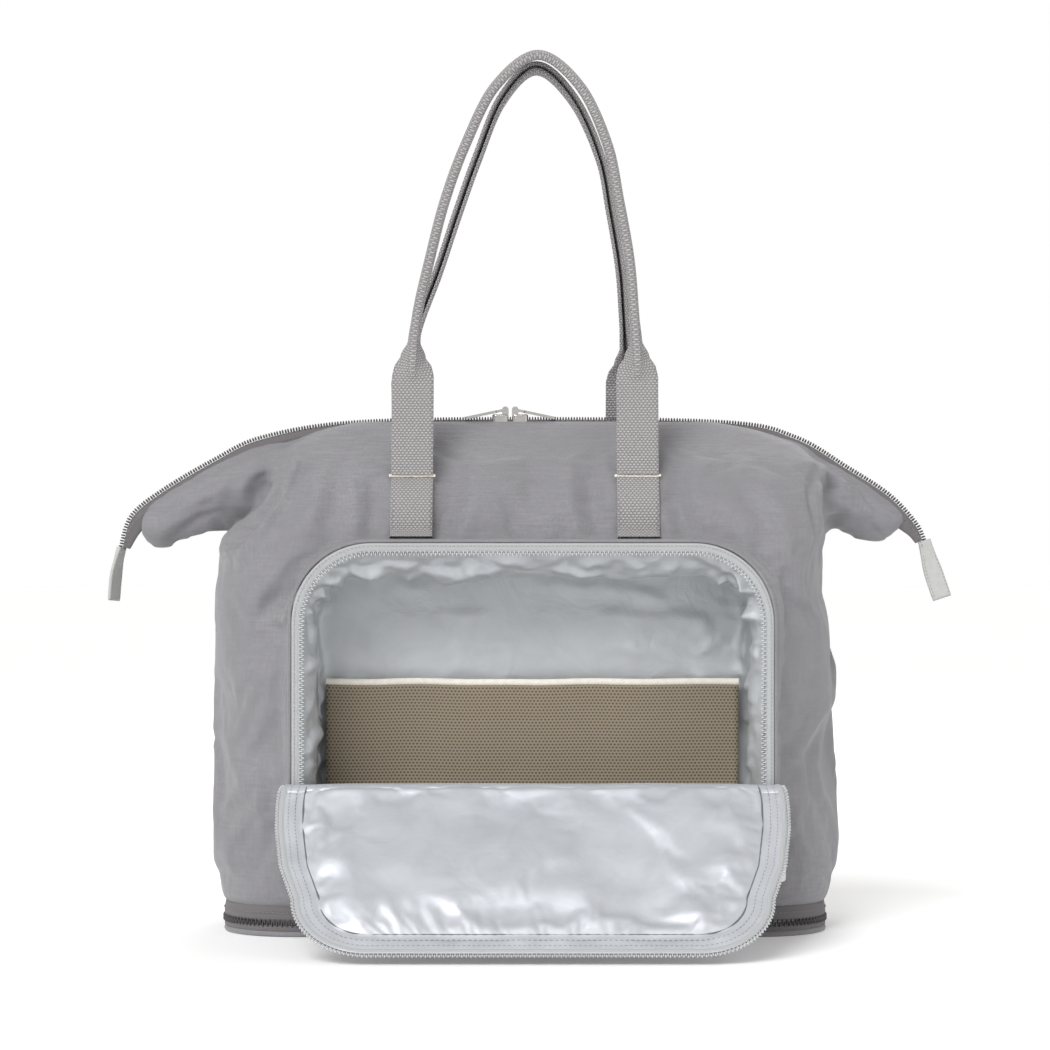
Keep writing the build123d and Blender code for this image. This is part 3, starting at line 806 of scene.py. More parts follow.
def add_thread(verts, faces, rings, side, normal):
    """Adds one short thread of six sides: each ring is its middle and its half thickness."""
    first = len(verts)
    for middle, thick in rings:
        for c in range(6):
            turn = math.tau * c / 6
            verts.append(middle + side * (thick * math.cos(turn)) + normal * (thick * math.sin(turn)))
    faces.extend(tuple(first + v for v in face) for face in grid_faces(len(rings), 6, wrap=True))


def stitches(name, path, pitch, length, radius, material, up, wander=0.0):
    """A line of sewn stitches: short rounded threads that dip into the cloth at each end."""
    verts, faces = [], []
    spots = even(path, pitch * MM)
    for a, b in zip(spots, spots[1:]):
        run = (b - a).normalized()
        normal = up(a) if callable(up) else up
        side = run.cross(normal).normalized()
        start = a + side * (rng.uniform(-1, 1) * wander * MM)
        rings = []
        for share in THREAD_STEPS:
            swell = math.sin(math.pi * share)
            rise = radius * MM * (1.6 * swell - 0.7)
            thick = radius * MM * (0.45 + 0.55 * swell)
            rings.append((start + run * (length * MM * share) + normal * rise, thick))
        add_thread(verts, faces, rings, side, normal)
    return make_object(name, verts, faces, material)


def cord_line(name, path, radius, material):
    """A thin round piping or seam line."""
    count = 6
    section = [(radius * MM * math.cos(math.tau * k / count), radius * MM * math.sin(math.tau * k / count))
               for k in range(count)]
    return sweep(name, path, section, material, Vector((0.01, -1, 0.01)))


# ---- cooler pocket ----------------------------------------------------------------------------
OUT = Vector((0, -1, 0))
MOUTH = (134.5, 50, 226, 40)               # half width, foot, top and corner radius of the mouth, in mm


def pocket_zip():
    front = FRONT_Y / MM
    tape = even(window_path(138.2, 47, 229.6, 44, 0, front - 0.7), 3 * MM)
    band = sweep("pocket_zip_band", tape, flat_section(5.6 * MM, 1.3 * MM), PALE_TAPE, OUT)
    finish(band, "bag", "pale_tape", "pocket_zip_tape")
    edge = even(window_path(134.9, 47, 226.3, 41, 0, front - 1.3), 2 * MM)
    row = teeth("pocket_zip_teeth", edge, (2.0, 0.8, 1.2), 1.25, PALE_TEETH, OUT)
    finish(row, "bag", "pale_coil", "pocket_zip_coil")
    sewn = even(window_path(139.4, 47, 230.8, 45, 0, front - 2.0), 3 * MM)
    finish(stitches("pocket_zip_stitches", sewn, 2.4, 1.8, 0.2, SILVER_THREAD, OUT), "bag", "thread")
    welt = even(window_path(142.2, 46, 233.6, 47, 0, front + 0.2), 3 * MM)
    finish(cord_line("pocket_welt", welt, 1.2, CANVAS), "bag", "canvas")


def cooler_shell():
    """The silver lining from the mouth inwards: it hangs in from the zip, and crumples at the corners."""
    half, low, high, radius = MOUTH
    front, back = FRONT_Y / MM, LINING_BACK_Y / MM
    steps = [(front - 7, 3, 3, 3), (front - 5, -2, -2, 0), (front + 1, -2, -2, 0), (front + 4, 1.5, 2.5, 0),
             (front + 9, 5, 9, 2), (front + 15, 7, 14.5, 5), (front + 19, 7.5, 15.5, 5),
             (front + 26, 6.5, 10, 6), (-52, 5, 5, 6), (-38, 5, 4, 6), (back - 4, 6, 5, 7),
             (back - 1, 10, 8, 10)]
    rings = [window_ring(half - side, low + foot, high - top, max(radius - k * 2, 18), 12, y, 220)
             for k, (y, side, top, foot) in enumerate(steps)]
    piece = closed_loft("cooler_shell", rings, SHADED_INSIDE_LINING)
    soften(piece, 3.2 * MM, 3)
    drop_faces(piece, lambda c: c.y < FRONT_Y + 0.6 * MM)
    x0, z0 = POCKET_X, (low + high) / 2 * MM

    def corners(p):
        across = np.clip((np.abs(p[:, 0] - x0) - 0.080) / 0.04, 0, 1)
        upward = np.clip((p[:, 2] - z0 - 0.02) / 0.05, 0, 1)
        front_share = np.clip((-0.045 - p[:, 1]) / 0.03, 0, 1)
        rim = np.clip((p[:, 1] - FRONT_Y - 0.001) / 0.006, 0, 1)
        return (0.12 + 0.35 * across + 1.1 * np.maximum(across * upward, upward * 0.4) * front_share) * rim
    ripple(piece, 0.019, 0.0080, 3, 3, corners, (1.0, 0.8, 1.5), 0.7)
    ripple(piece, 0.060, 0.0026, 4, 2)
    creases = [[(-116, -30, z), (0, -24, z + 4), (124, -30, z - 3)] for z in (168, 186, 203)]
    press_folds(piece, [(crease, 5, 1.2) for crease in creases])
    points = read_points(piece)
    wall = points[:, 1] > -0.036
    points[wall, 1] = np.maximum(points[wall, 1], -0.0305)
    points[:, 1] = np.minimum(points[:, 1], back * MM - 0.001)
    write_points(piece, points)
    subdivide(piece)
    return finish(piece, "bag", "lining", "cooler_lining", "cooler_foam_back", "cooler_foam_floor",
                  "cooler_foam_ceiling", "cooler_foam_left", "cooler_foam_right", "cooler_divider")


def net_material():
    """A brown net whose small staggered holes are painted: dots of dark brown painted shade, where the
    shadowed inside would show through.
    """
    s = Shader("net_painted_hole_shade", Roughness=0.8)
    du, dv = staggered(s, 1.9 * MM, 2.2 * MM)
    reach = s.math("SQRT", s.math("ADD", s.math("MULTIPLY", du, du), s.math("MULTIPLY", dv, dv)))
    # the holes' dark brown is painted shade: the shadowed inside, seen through the net
    hole_shade = s.ramp(reach, (0.24, 1.0), (0.34, 0.0))
    s.color(s.mix(hole_shade, (0.31, 0.26, 0.19), (0.115, 0.09, 0.06)))
    s.bump(s.math("MULTIPLY", hole_shade, -1.0), 0.4 * MM)
    return s.material


def mesh_pocket():
    low, high = (Vector(v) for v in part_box("mesh_pocket"))
    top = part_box("mesh_pocket_binding")[1][2]
    columns, rows = 80, 34
    verts, uvs = [], []
    for r in range(rows):
        z = lerp(low.z, top - 2.8 * MM, r / (rows - 1))
        for c in range(columns):
            x = lerp(low.x, high.x, c / (columns - 1))
            share = r / (rows - 1)
            slack = math.sin(math.pi * c / (columns - 1)) * share * 3.5 * MM
            wave = noise.noise(Vector((x * 22, 3.1, z * 9))) * 3.2 * MM * (0.4 + 0.6 * share)
            verts.append(Vector((x, low.y - slack + wave, z + wave * 0.4 * share)))
            uvs.append((x, z))
    net = make_object("dotted_mesh_pocket", verts, grid_faces(rows, columns), net_material(), uvs)
    finish(thicken(net, 0.8 * MM, 0), "bag", "mesh", "mesh_pocket")
    hem_line = [v + Vector((0, 0, 0.8 * MM)) for v in verts[-columns:]]
    hem = sweep("mesh_pocket_hem", hem_line, flat_section(4.0 * MM, 2.2 * MM), CREAM, OUT)
    finish(hem, "bag", "binding", "mesh_pocket_binding")


# ---- flap -------------------------------------------------------------------------------------
# Side view of the flap's silver face, y and z in mm: up the lip, over the fold and down to the floor.
FLAP_PROFILE = [(-92.8, 44), (-92.9, 66), (-93.8, 79), (-97.2, 88.4), (-103.6, 91.2), (-110.6, 87.8),
                (-119, 80.6), (-212, 6.4)]
FLAP_START = -47                         # foot of the upright part, measured down from the fold
FLAP_TIP = 143                           # length from the fold to the edge
FLAP_CORNER = 42
FLAP_STRAIGHT = FLAP_TIP - FLAP_CORNER   # where the rounded corners start
FLAP_LOW_HALF = 134                      # half width where the corners start
# Half width at each distance below the fold, in mm.
FLAP_HALVES = [(FLAP_START, 134.5), (-24, 134.5), (-12, 137.5), (-2, 142.5), (8, 145.5), (24, 146.5),
               (44, 146), (75, 142), (FLAP_STRAIGHT, FLAP_LOW_HALF)]
FLAP_SEAM = 14                           # the padded panel's seam stands in this far from the edge


def flap_profile():
    points = [Vector((0, y, z)) * MM for y, z in FLAP_PROFILE]
    fold = even([curve_at(points, i / 12) for i in range(12 * 6 + 1)], 1.0 * MM)
    fall = even([fold[-1], points[-1]], 1.0 * MM)
    return fold + fall[1:]


PROFILE = flap_profile()


def flap_half(r):
    """Half width of the flap at a distance below the fold, in mm."""
    if r <= FLAP_STRAIGHT:
        return straight_table(FLAP_HALVES, r)
    part = min((r - FLAP_STRAIGHT) / FLAP_CORNER, 1)
    return FLAP_LOW_HALF - FLAP_CORNER + FLAP_CORNER * math.sqrt(max(1 - part * part, 0))


def flap_frame(r):
    """Point and normal on the flap's silver face, r mm below the fold; behind it, the face is the lip's."""
    total = len(PROFILE) - 1
    at = (r - FLAP_START) / (FLAP_TIP - FLAP_START) * total
    i = min(max(int(at), 0), total - 1)
    a, b = PROFILE[i], PROFILE[i + 1]
    near, far = PROFILE[max(i - 3, 0)], PROFILE[min(i + 4, total)]
    run = (far - near).normalized()
    return a.lerp(b, at - i), Vector((0, run.z, -run.y))


def flap_point(x, r, lift=0.0):
    point, normal = flap_frame(r)
    return Vector((POCKET_X + x * MM, point.y, point.z)) + normal * (lift * MM)


def flap_normal(r):
    return flap_frame(r)[1]


def flap_outline(inset=0.0, start=0.0):
    """The flap's edge, drawn in by an inset, as (x, r) pairs from the left of the fold round to the right."""
    left = []
    for k in range(25):
        r = lerp(start, FLAP_STRAIGHT, k / 24)
        left.append((-flap_half(r) + inset, r))
    radius = FLAP_CORNER - inset
    reach = FLAP_LOW_HALF - FLAP_CORNER
    for k in range(1, 15):
        turn = math.pi / 2 * k / 14
        left.append((-reach - radius * math.cos(turn), FLAP_STRAIGHT + radius * math.sin(turn)))
    bottom = [(lerp(-reach, reach, k / 40), FLAP_TIP - inset) for k in range(1, 40)]
    return left + bottom + [(-x, r) for x, r in reversed(left)]


def flap_grid():
    """Rows and columns of (x, r) over the whole flap, and each one's distance from the edge."""
    rows = [FLAP_START + 4 * k for k in range(8)]
    rows += [-12 + 1.6 * k for k in range(16)]
    rows += [14 + 3 * k for k in range(30)]
    rows += [FLAP_STRAIGHT + FLAP_CORNER * math.sin(math.pi / 2 * k / 18) for k in range(1, 19)]
    columns = 112
    spots = []
    for r in rows:
        half = flap_half(r)
        for c in range(columns):
            share = 2 * c / (columns - 1) - 1
            spots.append((half * share, r))
    plane = np.array([(x, r, 0) for x, r in spots])
    edge, _ = nearest_on(plane, [(x, r, 0) for x, r in flap_outline(0, FLAP_START)])
    return spots, edge, len(rows), columns


def flap_lift(x, r, e):
    """How far the padded face stands over the flat before it settles, in mm."""
    if r < -6:
        return 0.0
    inside = max(e - FLAP_SEAM, 0)
    swell = 3.6 * (1 - math.exp(-inside / 12)) if inside else -1.1 * math.exp(-abs(e - FLAP_SEAM) / 1.6)
    slack = 2.4 * noise.fractal(Vector((x * 0.012, r * 0.018, 2.0)), 1.0, 2.0, 2) * smooth(inside / 22)
    lower_right = smooth((x - 5) / 40) * smooth((110 - x) / 40) * smooth((r - 55) / 40)
    diagonal = 1.1 * math.sin((x - r * 0.9) * 0.085 + 1.2) * lower_right * smooth(inside / 12)
    on_flange = smooth((FLAP_SEAM - e) / 4) * smooth((e - 5) / 4)
    wave = 0.8 * noise.noise(Vector((x * 0.05, r * 0.05, 11.0))) * on_flange
    return (swell + slack + diagonal + wave) * smooth((r + 2) / 20)


def flap():
    """The padded silver face, settled as cloth, with canvas behind it."""
    spots, edge, rows, columns = flap_grid()
    upper = [flap_point(x, r, flap_lift(x, r, e)) for (x, r), e in zip(spots, edge)]
    face = make_object("flap_silver_face", upper, grid_faces(rows, columns), LINING)
    down = np.array([r for _, r in spots])
    pins = np.maximum(np.clip((FLAP_SEAM + 2.5 - edge) / 1.5, 0, 1), np.clip((18 - down) / 14, 0, 1))
    inside = np.maximum(edge - FLAP_SEAM, 0)
    puckers = np.exp(-((inside - 6) / 15) ** 2) * np.clip((down - 14) / 60, 0, 1)
    simulate(face, pins, 20, 1.6, 0.040, (1.0 + 5.0 * puckers) * MM)
    thicken(face, 0.7 * MM)
    subdivide(face)
    finish_bent(face, "lining", "flap_lining", "flap_foam", "flap_lip")
    lower = []
    for (x, r), e in zip(spots, edge):
        depth = 1.9 + 5.6 * (1 - math.exp(-max(e - 4, 0) / 9)) * smooth((r - 2) / 26)
        lower.append(flap_point(x, r, -depth + 0.5 * noise.noise(Vector((x * 0.03, r * 0.03, 9)))))
    back = make_object("flap_canvas_back", lower, grid_faces(rows, columns), CANVAS)
    thicken(back, 0.9 * MM)
    finish_bent(back, "canvas", "flap_outer")
    flap_edges()


def finish_bent(piece, slot, *nodes):
    """Finishes a piece that crosses the fold: bakes its place into its mesh and hides the imported parts it
    stands in for.
    """
    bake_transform(piece)
    if nodes:
        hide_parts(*nodes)


def flap_up(point):
    """The way out of the silver face near a point of the flap's edge."""
    share = min(max((FRONT_Y - 8 * MM - point.y) / (115 * MM), 0), 1)
    return flap_normal(4 + share * 136)


def flap_line(inset, start, lift):
    return [flap_point(x, r, lift) for x, r in flap_outline(inset, start)]


def flap_edges():
    """The zip's tape and teeth round the flap, its stitching, and a dark cord that paints the shadow in the
    padded panel's seam.
    """
    tape = sweep("flap_zip_band", even(flap_line(1.7, -6, 0.1), 2.5 * MM), flat_section(3.6 * MM, 1.8 * MM),
                 PALE_TAPE, flap_up)
    finish_bent(tape, "pale_tape", "flap_zip_tape")
    row = teeth("flap_zip_teeth", flap_line(-1.0, -4, -0.7), (1.6, 0.8, 1.2), 1.25, PALE_TEETH, flap_up)
    finish_bent(row, "pale_coil", "flap_zip_coil")
    rows = (("flap_stitches", 9.4, 3.0, 2.1, 0.26), ("flap_tape_stitches", 5.4, 2.8, 1.9, 0.2))
    for name, inset, pitch, length, radius in rows:
        line = flap_line(inset, 2, 0.75)
        sewn = stitches(name, line, pitch, length, radius, SILVER_THREAD, flap_up, wander=0.15)
        finish_bent(sewn, "thread")
    # a thin dark cord along the padded panel's seam: painted shadow of the seam's groove
    seam = even(flap_line(FLAP_SEAM, 0, 0.35), 3 * MM)
    shadow = plain_material("seam_painted_shadow", (0.15, 0.16, 0.175))
    finish_bent(cord_line("flap_seam_shadow", seam, 0.55, shadow), "binding")


# ---- handles ----------------------------------------------------------------------------------
LEG_X, TACK_Y, TACK_Z = 67.0, 61.4, 272.0
LEG_FOOT = TACK_Z + 1.5                    # where each leg starts, just over its bar tack
FRONT_FOOT, REAR_FOOT = 234.4, 18.0        # where the sewn straps start
REAR_SHIFT = -4.0                          # the rear handle stands this far to the left
LEAN = math.radians(12.2)
WEB_WIDTH, WEB = 25.0, 2.1
GRIP_START = 346.0
# Middle of the folded grip from its left foot to its right: x, and the height over its start, in mm.
GRIP_LINE = [(-67, 0), (-64.5, 26), (-57.5, 59), (-48.5, 96), (-36, 132), (-18, 169), (8, 189), (33.5, 169),
             (50, 132), (57, 96), (63, 59), (65.5, 26), (67, 0)]


def web_section(open_angle):
    """Outline and weave coordinate of the webbing, folded lengthwise to a half angle; 90 degrees is flat."""
    half = WEB_WIDTH / 2
    s, c = math.sin(open_angle), math.cos(open_angle)
    centre = c * half * 0.5
    outline, sides = [], []

    def add(side, out, layer):
        depth = WEB * layer
        outline.append((side * (s * out + c * depth) * MM, (centre - c * out + s * depth) * MM))
        spine = math.pi / 2 - open_angle
        sides.append(side * (out + WEB * spine * layer * smooth(out / 1.2)) * MM)

    steps = [half, half * 0.97, half * 0.8, half * 0.55, half * 0.3, 1.2, 0.4]
    for layer, rounded, sides_in_order in ((1.0, 0.72, (-1, 1)), (0.0, 0.28, (1, -1))):
        for side, order in zip(sides_in_order, (steps, steps[::-1])):
            for out in order:
                add(side, out, rounded if out == half else layer)
    return outline, sides


# Half angle of the webbing's fold at each height: flat in the legs, closed in the grip.
FOLDING = [(329, 90), (336, 60), (343, 28), (352, 8), (366, 5)]
# How far the rear grip sways towards the right, over the same heights, in mm.
REAR_SWAY = [(0, 0), (26, 3), (59, 8), (96, 11), (132, 11), (169, 8), (189, 3)]


def handle(name, side, arch, shift):
    """One handle: side is -1 for the front; its flat legs fold lengthwise into the stitched grip."""
    line = [(-LEG_X, LEG_FOOT), (-LEG_X, 300), (-LEG_X, 330)]
    for x, rise in GRIP_LINE:
        aside = straight_table(REAR_SWAY, rise) if side > 0 and x < 9 else 0
        line.append((x + aside, GRIP_START + arch * rise))
    line += [(LEG_X, 330), (LEG_X, 300), (LEG_X, LEG_FOOT)]

    def stand(x, z):
        up = z - TACK_Z
        y = side * (TACK_Y - up * math.sin(LEAN))
        return Vector((x + shift, y, TACK_Z + up * math.cos(LEAN))) * MM

    path = resample([stand(x, z) for x, z in line], 2.2 * MM)
    outward = Vector((0, side * math.cos(LEAN), -math.sin(LEAN)))
    verts, uvs, length = [], [], 0.0
    for i, point in enumerate(path):
        tangent = (path[min(i + 1, len(path) - 1)] - path[max(i - 1, 0)]).normalized()
        if i:
            length += (point - path[i - 1]).length
        across = outward.cross(tangent).normalized()
        fold = table(FOLDING, point.z / MM)
        outline, sides = web_section(math.radians(fold))
        for (a, n), u in zip(outline, sides):
            verts.append(point + across * a + outward * n)
            uvs.append((u, length))
    faces = grid_faces(len(path), len(outline), wrap=True)
    return finish(make_object(name + "_webbing", verts, faces, WEBBING, uvs), name, "webbing", name)


def surface_y(cloth, x, z, side):
    """Where the bag's cloth stands at x and z, seen from the front or the rear."""
    hit, where, _, _ = cloth.ray_cast(Vector((x, side * 0.3, z)), Vector((0, -side, 0)))
    return where.y if hit else side * 0.08


def strap_line(cloth, x, low, side):
    """The line of a strap's middle, from its foot up the cloth to the bar tack."""
    line, steps = [], 28
    for k in range(steps + 1):
        z = lerp(low, LEG_FOOT, k / steps) * MM
        proud = max(surface_y(cloth, (x + aside) * MM, z, side) * side for aside in (-10, 0, 10))
        line.append(Vector((x * MM, (proud + 0.4 * MM) * side, z)))
    for _ in range(3):
        line[1:-1] = [(a + b * 2 + c) / 4 for a, b, c in zip(line, line[1:], line[2:])]
    line[-1].y = side * max(line[-1].y * side, (TACK_Y - 3.0) * MM)
    return line


def strap(cloth, name, x, low, side, *tack_nodes):
    """Sewn webbing under a handle's leg, its bar tack and the stitch rows along its edges."""
    line = strap_line(cloth, x, low, side)
    section, sides = web_section(math.pi / 2)
    outward = Vector((0, side, 0))
    webbing = sweep(f"{name}_strap_webbing", even(line, 2.5 * MM), section, WEBBING, outward, sides)
    finish(webbing, "bag", "webbing", f"{name}_strap")
    bar_tack(f"{name}_bar_tack", line[-1], line[-3], outward, *tack_nodes)
    for edge, mark in ((-1, "l"), (1, "r")):
        run = [p + Vector((edge * 11.2 * MM, side * (WEB + 0.1) * MM, 0)) for p in line]
        sewn = stitches(f"{name}_strap_stitches_{mark}", run, 3.4, 2.3, 0.22, GREY_THREAD, outward,
                        wander=0.1)
        finish(sewn, "bag", "thread")


def bar_tack(name, top, below, outward, *nodes):
    """A dense row of cream thread across the webbing."""
    run = (top - below).normalized()
    count, half, reach = 30, 13.2, 0.85
    base = top - run * 1.2 * MM + outward * (WEB + 0.6) * MM
    verts, faces = [], []
    for k in range(count):
        x = lerp(-half, half, k / (count - 1)) * MM
        at = base + Vector((x, 0, rng.uniform(-0.15, 0.15) * MM))
        rings = []
        for share in THREAD_STEPS:
            thick = (0.42 + 0.3 * math.sin(math.pi * share)) * MM
            rings.append((at + run * lerp(-reach, reach, share) * MM, thick))
        add_thread(verts, faces, rings, Vector((1, 0, 0)), outward)
    finish(make_object(name, verts, faces, CREAM), "bag", "thread", *nodes)


# ---- top zip, tabs and base -------------------------------------------------------------------
def zip_path(rise=0.0):
    return resample([Vector((x, 0, z + rise)) * MM for x, z in ZIP_LINE], 2 * MM)


# The visible width of each tape along the top zip: it shows more where it leaves the cloth at the ends.
TAPE_WIDTHS = [(0, 4.5), (0.03, 9.5), (0.07, 8.5), (0.11, 7), (0.89, 7), (0.93, 8.5), (0.97, 9.5), (1, 4.5)]


def tape_frame(point, side):
    """Out of a top tape and down across it: the tapes lie flatter on the roof and hang down the ears."""
    slope = math.radians(table([(100, 30), (165, 70)], abs(point.x) / MM))
    return (Vector((0, side * math.sin(slope), math.cos(slope))),
            Vector((0, side * math.cos(slope), -math.sin(slope))))


def top_zip():
    path = zip_path(0.6)
    for name, side in (("front", -1), ("rear", 1)):
        def section(share, side=side):
            width = straight_table(TAPE_WIDTHS, share)
            aside = side * (width / 2 + 0.4) * MM
            return [(a + aside, n + 0.9 * MM) for a, n in flat_section(width * MM, 1.0 * MM)]

        def out_at(point, side=side):
            return tape_frame(point, side)[0]

        tape = sweep(f"top_zip_{name}_band", path, section, ZIP_TAPE, out_at)
        finish(tape, "bag", "zip_tape", f"main_zip_{name}_tape")
        line = []
        for point in path:
            out, down = tape_frame(point, side)
            line.append(point + down * 5.6 * MM + out * 1.5 * MM)
        facing = Vector((0, side, 0.4)).normalized()
        sewn = stitches(f"top_zip_{name}_stitches", line, 2.8, 1.9, 0.22, GREY_THREAD, facing)
        finish(sewn, "bag", "thread")
    row = teeth("top_zip_teeth", zip_path(0.9), (3.4, 1.0, 2.2), 1.7, TEETH, Vector((0, 0, 1)))
    finish(row, "bag", "zip_coil", "main_zip_coil")


def tab_half(down):
    """Half width of an end tab, from 0 at its top to 1 at its foot."""
    return lerp(4.2, 6.4, smooth(down * 1.6))


def tab_sway(down):
    return 0.9 * math.sin(down * 3.6) - 0.4


def end_tab(name, end, lean, turn, length):
    """A folded ribbon tab on one end of the zip, sewn down both sides."""
    x, z = end
    place = Matrix.Translation(Vector((x + math.copysign(0.8, x), 0, z + 0.5)) * MM)
    place = place @ Matrix.Rotation(math.radians(lean), 4, "Y") @ Matrix.Rotation(math.radians(turn), 4, "Z")
    rings = []
    for k in range(19):
        down = k / 18
        thick = lerp(1.5, 0.95, smooth(down * 3)) * (1 - 0.35 * smooth((down - 0.94) / 0.06))
        middle = Vector((0, tab_sway(down), -length * down))
        ring = ring_points(tab_half(down), thick, thick * 0.6, 32)
        rings.append([place @ ((p + middle) * MM) for p in ring])
    finish(closed_loft(f"{name}_tab_ribbon", rings, TAB_RIBBON), "bag", "tab_leather", f"{name}_end_tab")
    for face in (-1, 1):
        normal = (place.to_3x3() @ Vector((0, face, 0))).normalized()
        for edge in (-1, 1):
            line = []
            for k in range(13):
                down = 0.10 + 0.86 * k / 12
                aside = edge * (tab_half(down) - 1.1)
                line.append(place @ (Vector((aside, face * 1.0 + tab_sway(down), -length * down)) * MM))
            sewn = stitches(f"{name}_tab_stitches_{face + 1}{edge + 1}", line, 2.3, 1.6, 0.22,
                            SILVER_THREAD, normal)
            finish(sewn, "bag", "thread")


BASE_HALF_X, BASE_HALF_Y, BASE_RADIUS = 180.0, 78.0, 45.0


def base_ring(outset, radius, z, count):
    """Points round the base, in metres."""
    ring = ring_points(BASE_HALF_X + outset, BASE_HALF_Y + outset, radius, count)
    return [(p + Vector((0, 0, z))) * MM for p in ring]


def round_band(name, steps, material, slot, *nodes):
    """A closed band round the base: steps are (outset, z) pairs in mm."""
    verts, uvs = [], []
    count = 260
    for outset, z in steps:
        ring = base_ring(outset, BASE_RADIUS + outset, z, count)
        length = 0.0
        for k, p in enumerate(ring):
            length += (p - ring[k - 1]).length if k else 0
            verts.append(p)
            uvs.append((z * MM, length))
    band = make_object(name, verts, grid_faces(len(steps), count, wrap=True), material, uvs)
    finish(band, "bag", slot, *nodes)


def base_out(point):
    """The way out of the base's side: straight out of a side, and round a corner."""
    corner_x = max(abs(point.x) - (BASE_HALF_X - BASE_RADIUS) * MM, 0)
    corner_y = max(abs(point.y) - (BASE_HALF_Y - BASE_RADIUS) * MM, 0)
    return Vector((math.copysign(corner_x, point.x), math.copysign(corner_y, point.y), 0)).normalized()


def base():
    """The closed zip round the base, with the cloth of the base under it."""
    upper = [(-3, 20), (-0.2, 18), (0.3, 15), (0.6, 12), (0.5, 10), (0.2, 9.6), (-2, 9.4)]
    round_band("base_upper_tape", upper, ZIP_TAPE, "zip_tape", "base_zip_upper_tape", "expansion_gusset",
               "base_board")
    lower = [(-2, 7.0), (0.2, 6.8), (0.5, 6.4), (0.5, 4), (-0.4, 2.6), (-3, 2.4)]
    round_band("base_lower_tape", lower, ZIP_TAPE, "zip_tape", "base_zip_lower_tape")
    cloth = [(-6, 4.2), (-1.2, 3.9), (0.4, 3.0), (0.9, 1.8), (0.4, 0.6), (-1.2, 0.05), (-14, 0.0), (-40, 0.0),
             (-76, 0.0)]
    round_band("base_cloth", cloth, CANVAS, "canvas", "base_panel")
    ring = base_ring(0.3, BASE_RADIUS, 8.2, 400)
    row = teeth("base_zip_teeth", ring + ring[:1], (2.9, 0.95, 1.5), 1.5, TEETH, base_out, lift=-0.4 * MM)
    finish(row, "bag", "zip_coil", "base_zip_coil")
    seam = base_ring(0.6, BASE_RADIUS, 14.2, 400)
    finish(stitches("base_stitches", seam, 3.0, 2.0, 0.24, GREY_THREAD, base_out), "bag", "thread")


METAL = ("main_slider_left", "main_slider_right", "main_pull_left", "main_pull_right", "pocket_slider",
         "pocket_pull", "base_slider", "base_pull")


def metal_nodes():
    """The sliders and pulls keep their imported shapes, in polished nickel."""
    for node in METAL:
        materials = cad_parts[node].data.materials
        materials.clear()
        materials.append(NICKEL)


# ---- camera and light -------------------------------------------------------------------------
def floor():
    white = plain_material("floor_white", (0.98, 0.98, 0.98), 0.95, 0, 0, 4, 0.0)
    shader = white.node_tree.nodes["Principled BSDF"]
    shader.inputs["Emission Color"].default_value = (1, 1, 1, 1)
    shader.inputs["Emission Strength"].default_value = 0.14
    corners = [(-12, -12, 0), (12, -12, 0), (12, 12, 0), (-12, 12, 0)]
    make_object("floor", corners, [(0, 1, 2, 3)], white)


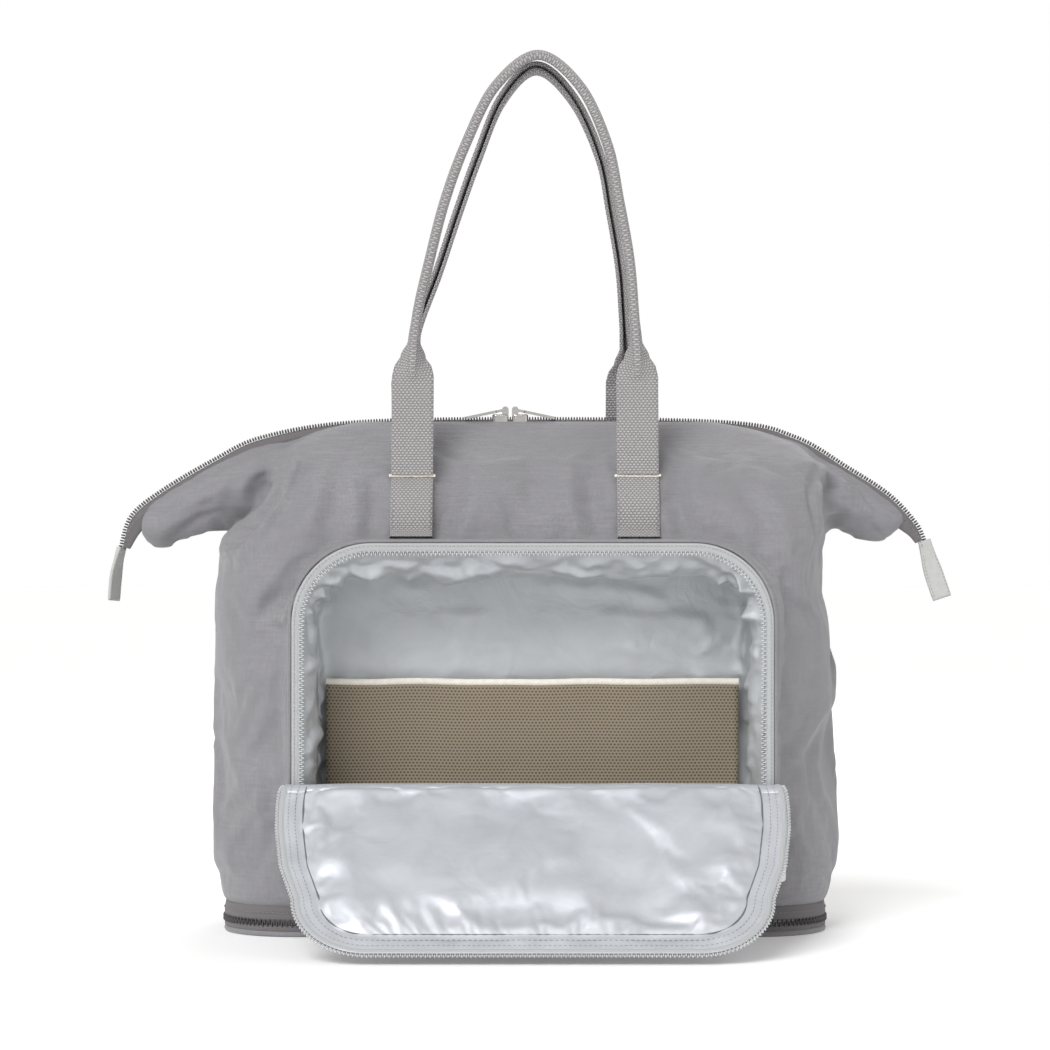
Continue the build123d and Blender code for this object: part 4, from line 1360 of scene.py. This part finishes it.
def backdrop():
    """Plain white where it is seen, and a soft room that dims upwards for the light it gives."""
    world = bpy.data.worlds.new("studio")
    world.use_nodes = True
    tree = world.node_tree
    seen = tree.nodes["Background"]
    seen.inputs[0].default_value = (1, 1, 1, 1)
    seen.inputs[1].default_value = 1.0
    toward = tree.nodes.new("ShaderNodeSeparateXYZ")
    tree.links.new(tree.nodes.new("ShaderNodeTexCoord").outputs["Generated"], toward.inputs[0])
    strength = tree.nodes.new("ShaderNodeMapRange")
    strength.inputs["To Min"].default_value = 0.70
    strength.inputs["To Max"].default_value = 0.30
    tree.links.new(toward.outputs["Z"], strength.inputs[0])
    around = tree.nodes.new("ShaderNodeBackground")
    around.inputs[0].default_value = (1.0, 0.985, 0.97, 1)
    tree.links.new(strength.outputs[0], around.inputs[1])
    either = tree.nodes.new("ShaderNodeMixShader")
    tree.links.new(tree.nodes.new("ShaderNodeLightPath").outputs["Is Camera Ray"], either.inputs[0])
    tree.links.new(around.outputs[0], either.inputs[1])
    tree.links.new(seen.outputs[0], either.inputs[2])
    tree.links.new(either.outputs[0], tree.nodes["World Output"].inputs[0])
    bpy.context.scene.world = world


def lights():
    sun = bpy.data.lights.new("key", "SUN")
    sun.energy, sun.angle = 2.3, math.radians(38)
    light("key", sun, (-0.85, -1.6, 1.75))
    for name, at, power in (("fill", (1.7, -1.4, 1.0), 5), ("rear", (0.4, 1.9, 1.8), 20)):
        panel = bpy.data.lights.new(name, "AREA")
        panel.size, panel.energy = 1.5, power
        light(name, panel, at)


def light(name, data, at):
    """Places a light, turned to the bag's middle."""
    lamp = bpy.data.objects.new(name, data)
    lamp.location = at
    lamp.rotation_euler = (Vector((0, 0, 0.2)) - Vector(at)).to_track_quat("-Z", "Y").to_euler()
    bpy.context.collection.objects.link(lamp)


def camera():
    data = bpy.data.cameras.new("camera")
    data.sensor_width = 36
    data.lens = 122.3
    made = bpy.data.objects.new("camera", data)
    made.location = (0, -2.18, 0.243)
    made.rotation_euler = (math.pi / 2, 0, 0)
    bpy.context.collection.objects.link(made)
    bpy.context.scene.camera = made
    bpy.context.scene.view_settings.view_transform = "Standard"


def main():
    camera()
    floor()
    backdrop()
    lights()
    cloth = body_cloth()
    cooler_shell()
    pocket_zip()
    mesh_pocket()
    flap()
    handle("front_handle", -1, 1.0, 0.0)
    handle("rear_handle", 1, 0.965, REAR_SHIFT)
    strap(cloth, "front_left", -LEG_X, FRONT_FOOT, -1, "bar_tacks")
    strap(cloth, "front_right", LEG_X, FRONT_FOOT, -1)
    strap(cloth, "rear_left", -LEG_X + REAR_SHIFT, REAR_FOOT, 1)
    strap(cloth, "rear_right", LEG_X + REAR_SHIFT, REAR_FOOT, 1)
    top_zip()
    end_tab("left", ZIP_LINE[0], 9.0, 66, 33)
    end_tab("right", ZIP_LINE[-1], -17.0, 22, 37)
    base()
    metal_nodes()


main()
